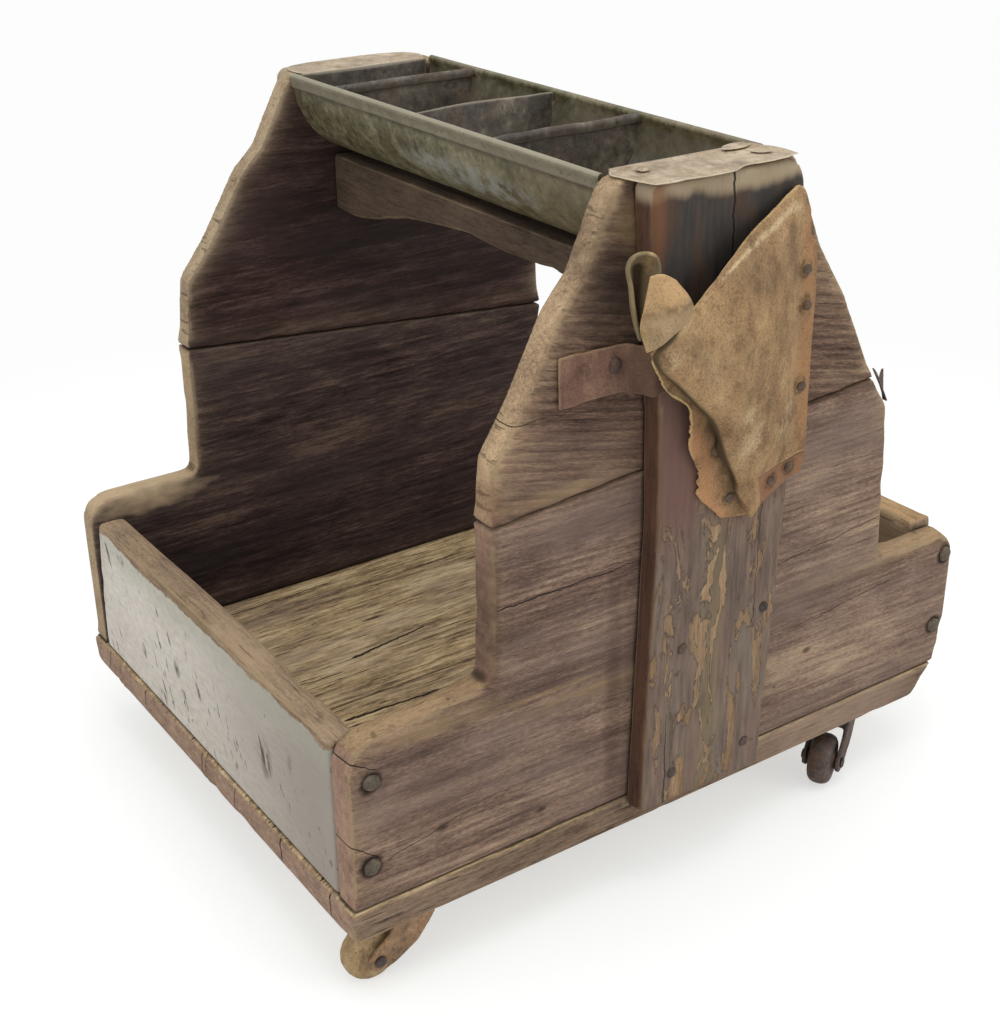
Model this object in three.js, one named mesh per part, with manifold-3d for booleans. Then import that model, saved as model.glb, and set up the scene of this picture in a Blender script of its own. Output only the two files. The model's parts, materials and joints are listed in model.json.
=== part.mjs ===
// Farrier box: an open wooden box on four iron swivel casters. Two tall side panels carry
// a half-round tin tray and a wooden rail between their tops. Millimetres, +Z up.
// X runs along the side panels and Y across the box, away from the panel with the leather pocket.

import * as THREE from "three";
import { mergeVertices } from "three/addons/utils/BufferGeometryUtils.js";
import Module from "manifold-3d";

const wasm = await Module();
wasm.setup();

// Clearances
const seat = 0.3; // between two pieces that lie on each other
const running = 0.3; // between a pin and the hole that it turns in
const seamGap = 1.2; // the open joint between two boards of a panel

// Box
const boxLength = 500;
const boxWidth = 400.6; // over the outer faces of the side panels
const sideThickness = 21;
const floorThickness = 25;
const floorOverhang = 3; // the floor stands past the side panels at its left end
const floorSplits = [2, 150]; // the joints between the floor boards, from the middle of the box
const floorGap = 0.8;
const endThickness = 22;
const endHeight = 111;
const edgeWear = 2.4; // how far the long edges are worn round
const edgeSegments = 2;

// Side panels, over the top of the floor
const panelHeight = 406.5;
const farPanelDrop = 3;
const nearSeamLeft = 222.3;
const nearSeamRight = 245.7;
const farSeamLeft = 217.8;
const farSeamRight = 191.4;

// Battens that hold the two boards of each side panel together
const battenThickness = 16.4;
const battenTopHalfWidth = 57;
const battenWear = 2;
const battenFoot = 5; // below the top of the floor
const battenWaist = 14; // how far the left edge is bowed in
const battenWaistDrop = 206; // and where, below the top of the panel
const battenBulge = 4; // how far the right edge is bowed out

// Casters
const wheelRadius = 19;
const wheelWidth = 20;
const wheelTrail = 28;
const wheelSegments = 18;
const axleRadius = 2.6;
const axleHeadRadius = 4.4;
const axleHeadHeight = 1.6;
const wheelSideGap = 0.7;
const cheekThickness = 3;
const crownClearance = 1.3; // over the tread of the wheel
const crownThickness = 5.4;
const crownRadius = 13;
const swivelGap = 0.3;
const plateThickness = 2.7;
const plateRadius = 17;
const stemRadius = 4.2;
const stemLength = 18;
const socketWall = 1.8;
const casterInsetLeft = 49; // from the left end of the box to the swivel axis
const casterInsetRight = 80;
const casterInsetSide = 25;

// Tin tray
const trayRadius = 58.5;
const trayOffset = -3; // the middle of the tray, along the box
const trayDrop = 3.6; // from the top of the near panel down to the tray's centre line
const tinThickness = 0.9;
const rimRadius = 3.2; // the wired edges of the tray
const dividerThickness = 0.9;
const dividerHem = 2.2;
const dividerDrop = 3; // from the tray's centre line down to the top of a divider
const farDividerPlace = 121; // from the middle of the box
const middleDividerPlace = 20;
const nearDividerPlace = -70;
const middleDividerBow = 7;
const flapLift = 0.4;

// Rail under the tray, which is the handle
const railWidth = 58;
const railThickness = 41; // at its far end
const railWorn = 20; // what is left of it at its thinnest

// Leather
const hideThickness = 2.2;
const strapThickness = 2.4;
const strapWidth = 30;
const strapDrop = 106; // from the top of the panel down to the middle of the strap
const strapReach = battenTopHalfWidth + 49; // from the middle of the box to the strap's free end
const strapLap = battenTopHalfWidth - 16; // and to the end that lies on the batten
const strapNailOut = battenTopHalfWidth + 11;

// Nails
const nailRadius = 1.7;
const nailClearance = 0.35;
const nailSides = 8;
const headGap = 0.2;

// Worked out from the values above
const floorUnder = 2 * wheelRadius + crownClearance + crownThickness + swivelGap + plateThickness + seat;
const floorTop = floorUnder + floorThickness;
const halfLength = boxLength / 2;
const halfWidth = boxWidth / 2;
const innerHalfWidth = halfWidth - sideThickness;
const battenFace = halfWidth + seat + battenThickness;
const boardFoot = seat; // the panels stand this far over the floor

// The near panel. Heights are over the top of the floor, and lengths are from the middle of the box.
// The low wings are about as high as the end boards, and the seam runs uphill to the right.
const near = {
  side: -1,
  top: panelHeight,
  topLeft: 69,
  topRight: 62,
  kneeLeft: [-148.5, nearSeamLeft + 38.5],
  kneeRight: [165, nearSeamRight - 22.7],
  seamLeft: nearSeamLeft,
  seamRight: nearSeamRight,
  seamRightEnd: 148,
  riserLeft: -152,
  riserRight: 172,
  stepLeft: endHeight + 11.8,
  stepRight: endHeight - 3,
  wingEndLeft: endHeight + 1,
  wingEndRight: endHeight - 8,
};

// The far panel, a little lower, whose seam runs downhill to the right
const far = {
  side: 1,
  top: panelHeight - farPanelDrop,
  topLeft: 66,
  topRight: 64,
  kneeLeft: [-155, farSeamLeft + 50],
  kneeRight: [152, farSeamRight + 70],
  seamLeft: farSeamLeft,
  seamRight: farSeamRight,
  seamRightEnd: 157,
  riserLeft: -162,
  riserRight: 158,
  stepLeft: endHeight + 8,
  stepRight: endHeight - 1,
  wingEndLeft: endHeight + 4,
  wingEndRight: endHeight - 7,
};

// Finishes: colour, roughness, metalness
const finishes = {
  sideWood: new THREE.MeshStandardMaterial({ color: 0x6b5547, roughness: 0.85 }),
  innerWood: new THREE.MeshStandardMaterial({ color: 0x4c3630, roughness: 0.85 }),
  floorWood: new THREE.MeshStandardMaterial({ color: 0x7b6a52, roughness: 0.9 }),
  paintedWood: new THREE.MeshStandardMaterial({ color: 0x8d8580, roughness: 0.7 }),
  battenPaint: new THREE.MeshStandardMaterial({ color: 0x5d4a44, roughness: 0.75 }),
  railWood: new THREE.MeshStandardMaterial({ color: 0x4a382c, roughness: 0.9 }),
  tin: new THREE.MeshStandardMaterial({ color: 0x5b5748, roughness: 0.55, metalness: 0.6 }),
  rustyTin: new THREE.MeshStandardMaterial({ color: 0x6a5648, roughness: 0.85, metalness: 0.3 }),
  iron: new THREE.MeshStandardMaterial({ color: 0x463c38, roughness: 0.75, metalness: 0.6 }),
  leather: new THREE.MeshStandardMaterial({ color: 0x9a7a52, roughness: 0.9 }),
  strapLeather: new THREE.MeshStandardMaterial({ color: 0x5c4a40, roughness: 0.85 }),
};

const xAxis = new THREE.Vector3(1, 0, 0);
const yAxis = new THREE.Vector3(0, 1, 0);
const zAxis = new THREE.Vector3(0, 0, 1);

// Conversions for cuts and joins
function toSolid(geometry) {
  const bare = geometry.clone();
  bare.deleteAttribute("normal");
  bare.deleteAttribute("uv");
  const merged = mergeVertices(bare, 1e-4);
  const vertProperties = new Float32Array(merged.attributes.position.array);
  const triVerts = new Uint32Array(merged.index.array);
  return new wasm.Manifold(new wasm.Mesh({ numProp: 3, vertProperties, triVerts }));
}

function toGeometry(solid) {
  const made = solid.getMesh();
  const geometry = new THREE.BufferGeometry();
  geometry.setAttribute("position", new THREE.BufferAttribute(new Float32Array(made.vertProperties), 3));
  geometry.setIndex(new THREE.BufferAttribute(new Uint32Array(made.triVerts), 1));
  geometry.computeVertexNormals();
  return geometry;
}

function joined(geometries) {
  return geometries.map(toSolid).reduce((whole, piece) => whole.add(piece));
}

function cut(geometry, cutters) {
  let solid = toSolid(geometry);
  for (const cutter of cutters) {
    solid = solid.subtract(toSolid(cutter));
  }
  return toGeometry(solid);
}

function named(name, geometry, material) {
  const mesh = new THREE.Mesh(geometry, material);
  mesh.name = name;
  return mesh;
}

// An outline of [a, b] points, extruded and laid so that it faces along the given axis
function extruded(outline, thickness, wear, facing) {
  const shape = new THREE.Shape(outline.map(([a, b]) => new THREE.Vector2(a, b)));
  const geometry = new THREE.ExtrudeGeometry(shape, {
    depth: thickness - 2 * wear,
    bevelEnabled: wear > 0,
    bevelThickness: wear,
    bevelSize: wear,
    bevelOffset: -wear,
    bevelSegments: edgeSegments,
  });
  geometry.translate(0, 0, wear);
  if (facing === "x") {
    geometry.applyMatrix4(new THREE.Matrix4().makeBasis(yAxis, zAxis, xAxis));
  }
  if (facing === "y") {
    geometry.translate(0, 0, -thickness);
    geometry.applyMatrix4(new THREE.Matrix4().makeBasis(xAxis, zAxis, yAxis.clone().negate()));
  }
  return geometry;
}

// A board whose outline lies in X and Z, from the given Y towards +Y
function boardAlongY(outline, thickness, startY, wear = edgeWear) {
  const geometry = extruded(outline, thickness, wear, "y");
  geometry.translate(0, startY, 0);
  return geometry;
}

// A cylinder about the line through a point, running on from it along a direction
function rod(radius, length, start, direction, sides) {
  const geometry = new THREE.CylinderGeometry(radius, radius, length, sides);
  geometry.translate(0, length / 2, 0);
  const turn = new THREE.Quaternion().setFromUnitVectors(yAxis, direction.clone().normalize());
  geometry.applyQuaternion(turn);
  geometry.translate(start.x, start.y, start.z);
  return geometry;
}

// A sheet of even or changing thickness about the surface that pointAt gives for u and v in 0 to 1
function thickSheet(columns, rows, pointAt, thicknessAt) {
  const points = [];
  for (let j = 0; j <= rows; j++) {
    for (let i = 0; i <= columns; i++) {
      points.push(pointAt(i / columns, j / rows));
    }
  }
  const at = (i, j) => points[j * (columns + 1) + i];
  const front = [];
  const back = [];
  for (let j = 0; j <= rows; j++) {
    for (let i = 0; i <= columns; i++) {
      const across = at(Math.min(i + 1, columns), j).clone().sub(at(Math.max(i - 1, 0), j));
      const along = at(i, Math.min(j + 1, rows)).clone().sub(at(i, Math.max(j - 1, 0)));
      const half = across.cross(along).normalize().multiplyScalar(thicknessAt(i / columns, j / rows) / 2);
      front.push(at(i, j).clone().add(half));
      back.push(at(i, j).clone().sub(half));
    }
  }
  const offset = front.length;
  const index = (i, j) => j * (columns + 1) + i;
  const triangles = [];
  const quad = (a, b, c, d) => triangles.push(a, b, c, a, c, d);
  for (let j = 0; j < rows; j++) {
    for (let i = 0; i < columns; i++) {
      const [a, b, c, d] = [index(i, j), index(i + 1, j), index(i + 1, j + 1), index(i, j + 1)];
      quad(a, b, c, d);
      quad(offset + a, offset + d, offset + c, offset + b);
    }
  }
  const rim = [];
  for (let i = 0; i < columns; i++) {
    rim.push(index(i, 0));
  }
  for (let j = 0; j < rows; j++) {
    rim.push(index(columns, j));
  }
  for (let i = columns; i > 0; i--) {
    rim.push(index(i, rows));
  }
  for (let j = rows; j > 0; j--) {
    rim.push(index(0, j));
  }
  rim.forEach((a, k) => {
    const b = rim[(k + 1) % rim.length];
    quad(a, offset + a, offset + b, b);
  });
  const geometry = new THREE.BufferGeometry();
  geometry.setFromPoints([...front, ...back]);
  geometry.setIndex(triangles);
  geometry.computeVertexNormals();
  return geometry;
}

// A point on the way from a to b, pushed to the left of that way
function between(a, b, share, push = 0) {
  const [dx, dz] = [b[0] - a[0], b[1] - a[1]];
  const length = Math.hypot(dx, dz);
  return [a[0] + dx * share - (dz / length) * push, a[1] + dz * share + (dx / length) * push];
}

// Nails. Each one has a head point on the surface that it holds down and a direction to drive it in.
function nail(name, at, direction, length, headRadius, headHeight) {
  const profile = [
    [0, -length],
    [nailRadius * 0.35, -length + 0.4],
    [nailRadius, -length + 5],
    [nailRadius, 0],
    [headRadius, 0],
    [headRadius * 0.88, headHeight * 0.62],
    [headRadius * 0.45, headHeight * 0.96],
    [0, headHeight],
  ].map(([r, y]) => new THREE.Vector2(r, y));
  const geometry = new THREE.LatheGeometry(profile, nailSides);
  const turn = new THREE.Quaternion().setFromUnitVectors(yAxis.clone().negate(), direction);
  geometry.applyQuaternion(turn);
  geometry.translate(at.x, at.y, at.z);
  const start = at.clone().addScaledVector(direction, -5);
  const bore = rod(nailRadius + nailClearance, length + 6, start, direction, nailSides + 2);
  return { name, mesh: named(name, geometry, finishes.iron), bore };
}

// Outlines of the side panels
function lowerBoardOutline(panel) {
  const seamHalf = seamGap / 2;
  const endRight = halfLength;
  const lowersRight = panel.side < 0;
  const kneeRight = lowersRight
    ? [panel.kneeRight, [panel.riserRight - 2, panel.kneeRight[1] - 55]]
    : [[panel.riserRight - 1, panel.seamRight - 8]];
  return [
    [-halfLength, boardFoot],
    [-halfLength, panel.wingEndLeft - 12],
    [-halfLength + 5, panel.wingEndLeft - 2],
    [-halfLength + 16, panel.wingEndLeft + 4],
    [panel.riserLeft, panel.stepLeft],
    [panel.riserLeft + 1.5, panel.seamLeft - seamHalf],
    [panel.seamRightEnd, panel.seamRight - seamHalf],
    ...kneeRight,
    [panel.riserRight, panel.stepRight],
    [endRight - 7, panel.wingEndRight + 2],
    [endRight, panel.wingEndRight - 9],
    [endRight, 21],
    [endRight - 9, boardFoot],
  ];
}

function upperBoardOutline(panel) {
  const seamHalf = seamGap / 2;
  const topLeft = [-panel.topLeft, panel.top - 6];
  const topRight = [panel.topRight + 5, panel.top - 7];
  const seamRight = [panel.seamRightEnd, panel.seamRight + seamHalf];
  const kneeRight = panel.side < 0 ? [] : [panel.kneeRight];
  const shoulder = kneeRight.length ? panel.kneeRight : seamRight;
  return [
    [panel.riserLeft + 1.5, panel.seamLeft + seamHalf],
    panel.kneeLeft,
    between(panel.kneeLeft, topLeft, 0.22, -2),
    between(panel.kneeLeft, topLeft, 0.56, 0.5),
    between(panel.kneeLeft, topLeft, 0.7, -4.5),
    between(panel.kneeLeft, topLeft, 0.9, -1),
    topLeft,
    [-panel.topLeft + 6, panel.top],
    [panel.topRight - 4, panel.top],
    topRight,
    between(topRight, shoulder, 0.35, -4),
    between(topRight, shoulder, 0.6, 1),
    ...kneeRight,
    seamRight,
  ];
}

function panelBoards(label, panel, bores) {
  const startY = panel.side < 0 ? -halfWidth : halfWidth - sideThickness;
  const lift = (geometry) => geometry.translate(0, 0, floorTop);
  const lower = lift(boardAlongY(lowerBoardOutline(panel), sideThickness, startY));
  const upper = lift(boardAlongY(upperBoardOutline(panel), sideThickness, startY));
  return [
    named(`${label}_lower_board`, cut(lower, bores.lower), finishes.sideWood),
    named(`${label}_upper_board`, cut(upper, bores.upper), finishes.sideWood),
  ];
}

// The floor: three boards along the box, with rounded right ends
function floorOutline(underWear) {
  return [
    [-halfLength - floorOverhang, floorUnder + 6],
    [-halfLength - floorOverhang, floorTop - 4],
    [-halfLength - floorOverhang + 2, floorTop],
    [halfLength - 10, floorTop],
    [halfLength - 14, floorTop - 8],
    [halfLength - 14 - underWear, floorUnder],
    [-halfLength - floorOverhang + 4, floorUnder],
  ];
}

function floorBoards(sockets) {
  const edges = [-halfWidth, ...floorSplits, halfWidth];
  const labels = ["near", "middle", "far"];
  return labels.map((label, k) => {
    const start = edges[k] + (k > 0 ? floorGap / 2 : 0);
    const end = edges[k + 1] - (k < labels.length - 1 ? floorGap / 2 : 0);
    const board = boardAlongY(floorOutline(12), end - start, start, 1.5);
    return named(`floor_board_${label}`, cut(board, sockets), finishes.floorWood);
  });
}

// The end boards stand on the floor between the side panels
function leftEndBoard(bores) {
  const reach = innerHalfWidth - seat;
  const foot = floorTop + boardFoot;
  const top = floorTop + endHeight;
  const outline = [
    [-reach, foot],
    [reach - 1, foot],
    [reach - 4, foot + endHeight / 2],
    [reach - 11, top - 3],
    [0, top],
    [-reach, top - 3],
  ];
  const board = extruded(outline, endThickness, edgeWear, "x");
  board.translate(-halfLength, 0, 0);
  return named("left_end_board", cut(board, bores), finishes.paintedWood);
}

function rightEndBoard(bores) {
  const reach = innerHalfWidth - seat;
  const foot = floorTop + boardFoot;
  const top = floorTop + endHeight;
  const outline = [
    [-reach, foot],
    [reach, foot],
    [reach, top - 4],
    [0, top - 2],
    [-reach, top],
  ];
  const board = extruded(outline, endThickness, edgeWear, "x");
  board.translate(halfLength - endThickness - 3, 0, 0);
  return named("right_end_board", cut(board, bores), finishes.innerWood);
}

// Battens on the outer faces of the side panels
function nearBattenOutline() {
  const top = floorTop + near.top;
  const foot = floorTop - battenFoot;
  const waist = top - battenWaistDrop;
  const half = battenTopHalfWidth;
  return [
    [battenWaist - 6 - half, foot],
    [battenWaist - half, waist],
    [battenWaist - 2 - half, waist + battenWaistDrop * 0.33],
    [battenWaist * 0.3 - half, waist + battenWaistDrop * 0.74],
    [-half, top - 4],
    [-half + 3, top],
    [half - 14, top - 1],
    [half - 4, top - 5],
    [half, top - 14],
    [half + battenBulge, waist + 10],
    [half + battenBulge, waist - 30],
    [half - battenBulge, foot],
  ];
}

function nearBatten(bores) {
  const board = boardAlongY(nearBattenOutline(), battenThickness, -battenFace, battenWear);
  return named("near_batten", cut(board, bores), finishes.battenPaint);
}

function farBatten(bores) {
  const top = floorTop + far.top;
  const half = battenTopHalfWidth;
  const outline = [
    [-half + 2, floorTop - battenFoot],
    [-half, top - 5],
    [-half + 5, top],
    [half - 5, top],
    [half, top - 5],
    [half - 2, floorTop - battenFoot],
  ];
  const board = boardAlongY(outline, battenThickness, halfWidth + seat, battenWear);
  return named("far_batten", cut(board, bores), finishes.battenPaint);
}

// The tin tray: a half-round trough with wired edges
const trayAxis = new THREE.Vector3(trayOffset, 0, floorTop + near.top - trayDrop);
const trayReach = innerHalfWidth - seat;
const trayInner = trayRadius - tinThickness;

function trayTrough() {
  const arcSteps = 18;
  const rimSteps = 9;
  const lip = rimRadius / trayRadius;
  const middle = trayRadius - tinThickness / 2;
  const outline = [];
  const addArc = (cx, cz, radius, from, to, steps) => {
    for (let k = 0; k <= steps; k++) {
      const angle = from + ((to - from) * k) / steps;
      outline.push([cx + radius * Math.cos(angle), cz + radius * Math.sin(angle)]);
    }
  };
  addArc(0, 0, trayRadius, Math.PI + lip, 2 * Math.PI - lip, arcSteps);
  addArc(middle, 0, rimRadius, -Math.PI / 2 + 0.25, (3 * Math.PI) / 2 - 0.25, rimSteps);
  addArc(0, 0, trayInner, 2 * Math.PI - lip, Math.PI + lip, arcSteps);
  addArc(-middle, 0, rimRadius, -Math.PI / 2 + 0.25, (3 * Math.PI) / 2 - 0.25, rimSteps);
  const geometry = boardAlongY(outline, 2 * trayReach, -trayReach, 0);
  geometry.translate(trayAxis.x, 0, trayAxis.z);
  return named("tray_trough", geometry, finishes.tin);
}

// A half disc of tin across the trough, standing clear of the wired edges, with a hemmed top
function trayDivider(name, y, bow, drop) {
  const radius = trayInner - seat - dividerThickness / 2;
  const halfSpan = trayInner - rimRadius - 1.5;
  const pointAt = (u, v) => {
    const x = (2 * u - 1) * halfSpan;
    const depth = Math.sqrt(radius * radius - x * x);
    const sway = bow * (1 - (x / halfSpan) ** 2) * v;
    return new THREE.Vector3(trayAxis.x + x, y + sway, trayAxis.z - drop * v - depth * (1 - v));
  };
  const thicknessAt = (u, v) => (v > 0.8 ? dividerHem : dividerThickness);
  return named(name, thickSheet(12, 6, pointAt, thicknessAt), finishes.tin);
}

// The ends of the tray: a half disc inside the trough whose top turns over the panel as a flap
function trayEnd(name, panel, flapEdge, bores) {
  const out = panel.side;
  const radius = trayInner - seat;
  const halfSpan = trayInner - rimRadius - 1.5;
  const flapUnder = floorTop + panel.top + seat + flapLift;
  const flapTop = flapUnder + tinThickness;
  const steps = 14;
  const from = Math.PI + Math.acos(halfSpan / radius);
  const to = 2 * Math.PI - Math.acos(halfSpan / radius);
  const plate = [];
  for (let k = 0; k <= steps; k++) {
    const angle = from + ((to - from) * k) / steps;
    plate.push([trayAxis.x + radius * Math.cos(angle), trayAxis.z + radius * Math.sin(angle)]);
  }
  plate.push([trayAxis.x + halfSpan, flapTop]);
  plate.push([trayAxis.x - halfSpan, flapTop]);
  const plateStart = out < 0 ? -trayReach : trayReach - tinThickness;
  const disc = boardAlongY(plate, tinThickness, plateStart, 0);
  const flapOutline = flapEdge.map(([x, reach]) => [x, out * (innerHalfWidth - 1 + reach)]);
  const flap = extruded(flapOutline, tinThickness, 0, "z");
  flap.translate(0, 0, flapUnder);
  let solid = joined([disc, flap]);
  for (const bore of bores) {
    solid = solid.subtract(toSolid(bore));
  }
  return named(name, toGeometry(solid), finishes.rustyTin);
}

// The ragged edges of the flaps, as [place along the box, reach out over the panel]
const nearFlapEdge = [
  [-55, -0.2],
  [-63, 4],
  [-62, 26],
  [-55, 41],
  [-20, 43],
  [2, 44],
  [12, 39],
  [30, 40],
  [49, 37],
  [52, 30],
  [50, 8],
  [47, -0.2],
];

const farFlapEdge = [
  [-54, -0.2],
  [-61, 5],
  [-60, 33],
  [-30, 38],
  [22, 36],
  [54, 38],
  [58, 20],
  [48, -0.2],
];

// The rail under the tray, chewed away underneath
function trayRail(bores) {
  const top = trayAxis.z - trayRadius - seat;
  const reach = innerHalfWidth - seat;
  const worn = railThickness - railWorn;
  const underside = [
    [1, 0],
    [0.85, -0.1],
    [0.7, 0.1],
    [0.45, 0.62],
    [0.2, 0.86],
    [0, 1],
    [-0.2, 0.86],
    [-0.5, 0.95],
    [-0.8, 0.81],
    [-1, 0.71],
  ];
  const outline = [[-reach, top], [reach, top]];
  for (const [share, wear] of underside) {
    outline.push([share * reach, top - railThickness + worn * wear]);
  }
  const board = extruded(outline, railWidth, edgeWear, "x");
  board.translate(trayAxis.x - railWidth / 2, 0, 0);
  return named("tray_rail", cut(board, bores), finishes.railWood);
}

// The leather pocket: half a cone nailed to the near batten. Each row of points runs from the right
// flange over the belly and the ridge to the left flange, as [along, below the panel top, stand-off].
const pocketRows = [
  [
    [66, 196, 1.9],
    [58, 200, 1.9],
    [47, 204, 1.9],
    [38, 208, 2.4],
    [31, 212, 4],
    [24, 214, 6],
    [17, 213, 2.6],
    [5, 213, 1.9],
  ],
  [
    [70, 186, 1.9],
    [61, 188, 1.9],
    [52, 190, 2.2],
    [41, 192, 3],
    [31, 194, 6],
    [22, 195, 9],
    [14, 196, 2.8],
    [-7, 196, 1.9],
  ],
  [
    [73, 158, 1.9],
    [66, 162, 2.6],
    [52, 166, 8],
    [36, 170, 13],
    [22, 173, 14],
    [11, 174, 12],
    [7, 174, 3.2],
    [-17, 175, 1.9],
  ],
  [
    [71, 112, 1.9],
    [64, 114, 3],
    [45, 118, 11],
    [20, 123, 18],
    [-3, 127, 21],
    [-18, 129, 16],
    [-22, 129, 4],
    [-34, 124, 3.6],
  ],
  [
    [70, 72, 1.9],
    [62, 73, 3],
    [42, 78, 13],
    [12, 84, 23],
    [-20, 93, 27],
    [-46, 103, 20],
    [-50, 104, 8],
    [-54, 103, 7],
  ],
  [
    [62, 38, 1.9],
    [56, 40, 3.4],
    [38, 48, 12],
    [8, 57, 21],
    [-25, 66, 29],
    [-62, 79, 27],
    [-68, 75, 13],
    [-62, 70, 7],
  ],
  [
    [49, 15, 2.2],
    [44, 18, 4],
    [27, 28, 11],
    [0, 38, 19],
    [-32, 52, 27],
    [-64, 62, 24],
    [-76, 54, 14],
    [-70, 36, 8],
  ],
];

function pocketSurface() {
  const point = ([x, drop, off]) => new THREE.Vector3(x, -battenFace - off, floorTop + near.top - drop);
  const rows = pocketRows.map((row) => new THREE.CatmullRomCurve3(row.map(point)));
  return (u, v) => {
    const across = rows.map((row) => row.getPoint(u));
    return new THREE.CatmullRomCurve3(across).getPoint(v);
  };
}

// How far the hide stands off the batten under a nail head
function hideStandOff(x, z, radius) {
  const surface = pocketSurface();
  let most = 0;
  for (let i = 0; i <= 60; i++) {
    for (let j = 0; j <= 60; j++) {
      const p = surface(i / 60, j / 60);
      if (Math.hypot(p.x - x, p.z - z) < radius) {
        most = Math.max(most, -battenFace - p.y);
      }
    }
  }
  return most;
}

function leatherPocket(bores) {
  const sheet = thickSheet(22, 14, pocketSurface(), () => hideThickness);
  return named("leather_pocket", cut(sheet, bores), finishes.leather);
}

// The strap on the upper board, which climbs over the edge of the batten and ends under the pocket
function leatherStrap(bores) {
  const board = -halfWidth;
  const rest = strapThickness / 2 + seat;
  const edge = -battenTopHalfWidth + battenWaist * 0.4;
  const path = [
    [-strapReach, board - rest],
    [edge - 24, board - rest],
    [edge - 9.6, board - rest],
    [edge - 4.1, board - rest - 2],
    [edge - 1.2, board - battenThickness / 2],
    [edge, -battenFace + 1],
    [edge + 2.8, -battenFace - rest],
    [-strapLap, -battenFace - rest],
  ];
  const curve = new THREE.CatmullRomCurve3(path.map(([x, y]) => new THREE.Vector3(x, y, 0)));
  const pointAt = (u, v) => {
    const p = curve.getPoint(u);
    const middle = near.top - strapDrop + 2.5 * u;
    const half = strapWidth / 2 - 1.5 * u;
    return new THREE.Vector3(p.x, p.y, floorTop + middle + (2 * v - 1) * half);
  };
  const sheet = thickSheet(22, 2, pointAt, () => strapThickness);
  return named("leather_strap", cut(sheet, bores), finishes.strapLeather);
}

// A torn scrap of sheet iron on the right edge of the near panel, below the seam. One prong lies
// along the slanted edge and the other stands straight up from the knee.
function edgeScrap() {
  const thickness = 1.4;
  const lift = thickness / 2 + seat + 0.2;
  const knee = near.kneeRight;
  const seamEnd = [near.seamRightEnd, near.seamRight];
  const foot = between(knee, seamEnd, 0.05, -lift);
  const lying = between(knee, seamEnd, 1.2, -lift - 2.5);
  const standing = [foot[0] + 5, foot[1] + 19];
  const nearEdge = -halfWidth + edgeWear;
  const width = 11;
  const pointAt = (u, v) => {
    const notch = 1 - 0.45 * Math.sin(Math.PI * u) ** 2;
    const x = foot[0] + (lying[0] + (standing[0] - lying[0]) * u - foot[0]) * v * notch;
    const z = foot[1] + (lying[1] + (standing[1] - lying[1]) * u - foot[1]) * v * notch;
    return new THREE.Vector3(x, nearEdge + width * u * (0.4 + 0.6 * v), floorTop + z);
  };
  return named("edge_scrap", thickSheet(8, 5, pointAt, () => thickness), finishes.iron);
}

// Casters: a plate with its socket, a horn that swivels in it, an axle pin and a wheel
function casterPlate(name, x, y) {
  const under = floorUnder - seat - plateThickness;
  const bore = stemRadius + running;
  const outer = bore + socketWall;
  const profile = [
    [bore, under],
    [plateRadius, under],
    [plateRadius, under + plateThickness * 0.7],
    [plateRadius - 1, under + plateThickness],
    [outer, under + plateThickness],
    [outer, under + plateThickness + stemLength],
    [bore, under + plateThickness + stemLength],
    [bore, under],
  ].map(([r, z]) => new THREE.Vector2(r, z));
  const geometry = new THREE.LatheGeometry(profile, 16);
  geometry.rotateX(Math.PI / 2);
  geometry.translate(x, y, 0);
  return named(name, geometry, finishes.iron);
}

function socketHole(x, y) {
  const radius = stemRadius + running + socketWall + seat;
  return rod(radius, stemLength + 4, new THREE.Vector3(x, y, floorUnder - 2), zAxis, 16);
}

// The horn, with its swivel axis at the origin and the wheel trailing towards -X
function hornGeometry() {
  const crownUnder = 2 * wheelRadius + crownClearance;
  const crownTop = crownUnder + crownThickness;
  const inner = wheelWidth / 2 + wheelSideGap;
  const outline = [
    [crownRadius - 1, crownTop],
    [crownRadius, crownUnder],
    [crownRadius - 5, crownUnder - 7],
    [0, crownUnder - 17],
    [-wheelTrail + 12, wheelRadius - 6],
    [-wheelTrail + 5, wheelRadius - 8],
    [-wheelTrail - 2, wheelRadius - 8],
    [-wheelTrail - 8, wheelRadius - 3],
    [-wheelTrail - 8, wheelRadius + 3],
    [-wheelTrail - 2, wheelRadius + 9],
    [-wheelTrail + 7, crownUnder - 5],
    [-crownRadius, crownTop],
  ];
  const cheek = (start) => boardAlongY(outline, cheekThickness, start, 0);
  const crown = boardAlongY(
    [
      [crownRadius - 1, crownTop],
      [crownRadius, crownUnder],
      [-crownRadius - 3, crownUnder],
      [-crownRadius, crownTop],
    ],
    2 * inner + 1,
    -inner - 0.5,
    0,
  );
  const stem = rod(stemRadius, stemLength + 1, new THREE.Vector3(0, 0, crownTop - 1), zAxis, 14);
  let horn = joined([cheek(-inner - cheekThickness), cheek(inner), crown, stem]);
  const side = new THREE.Vector3(-wheelTrail, -inner - cheekThickness - 5, wheelRadius);
  const across = 2 * inner + 2 * cheekThickness + 10;
  horn = horn.subtract(toSolid(rod(axleRadius + running, across, side, yAxis, 12)));
  return toGeometry(horn);
}

function axleGeometry() {
  const half = wheelWidth / 2 + wheelSideGap + cheekThickness + seat;
  const profile = [
    [0, -half - axleHeadHeight],
    [axleHeadRadius * 0.7, -half - axleHeadHeight],
    [axleHeadRadius, -half - axleHeadHeight * 0.4],
    [axleHeadRadius, -half],
    [axleRadius, -half],
    [axleRadius, half],
    [axleHeadRadius, half],
    [axleHeadRadius, half + axleHeadHeight * 0.4],
    [axleHeadRadius * 0.7, half + axleHeadHeight],
    [0, half + axleHeadHeight],
  ].map(([r, y]) => new THREE.Vector2(r, y));
  const geometry = new THREE.LatheGeometry(profile, 12);
  geometry.translate(-wheelTrail, 0, wheelRadius);
  return geometry;
}

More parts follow.
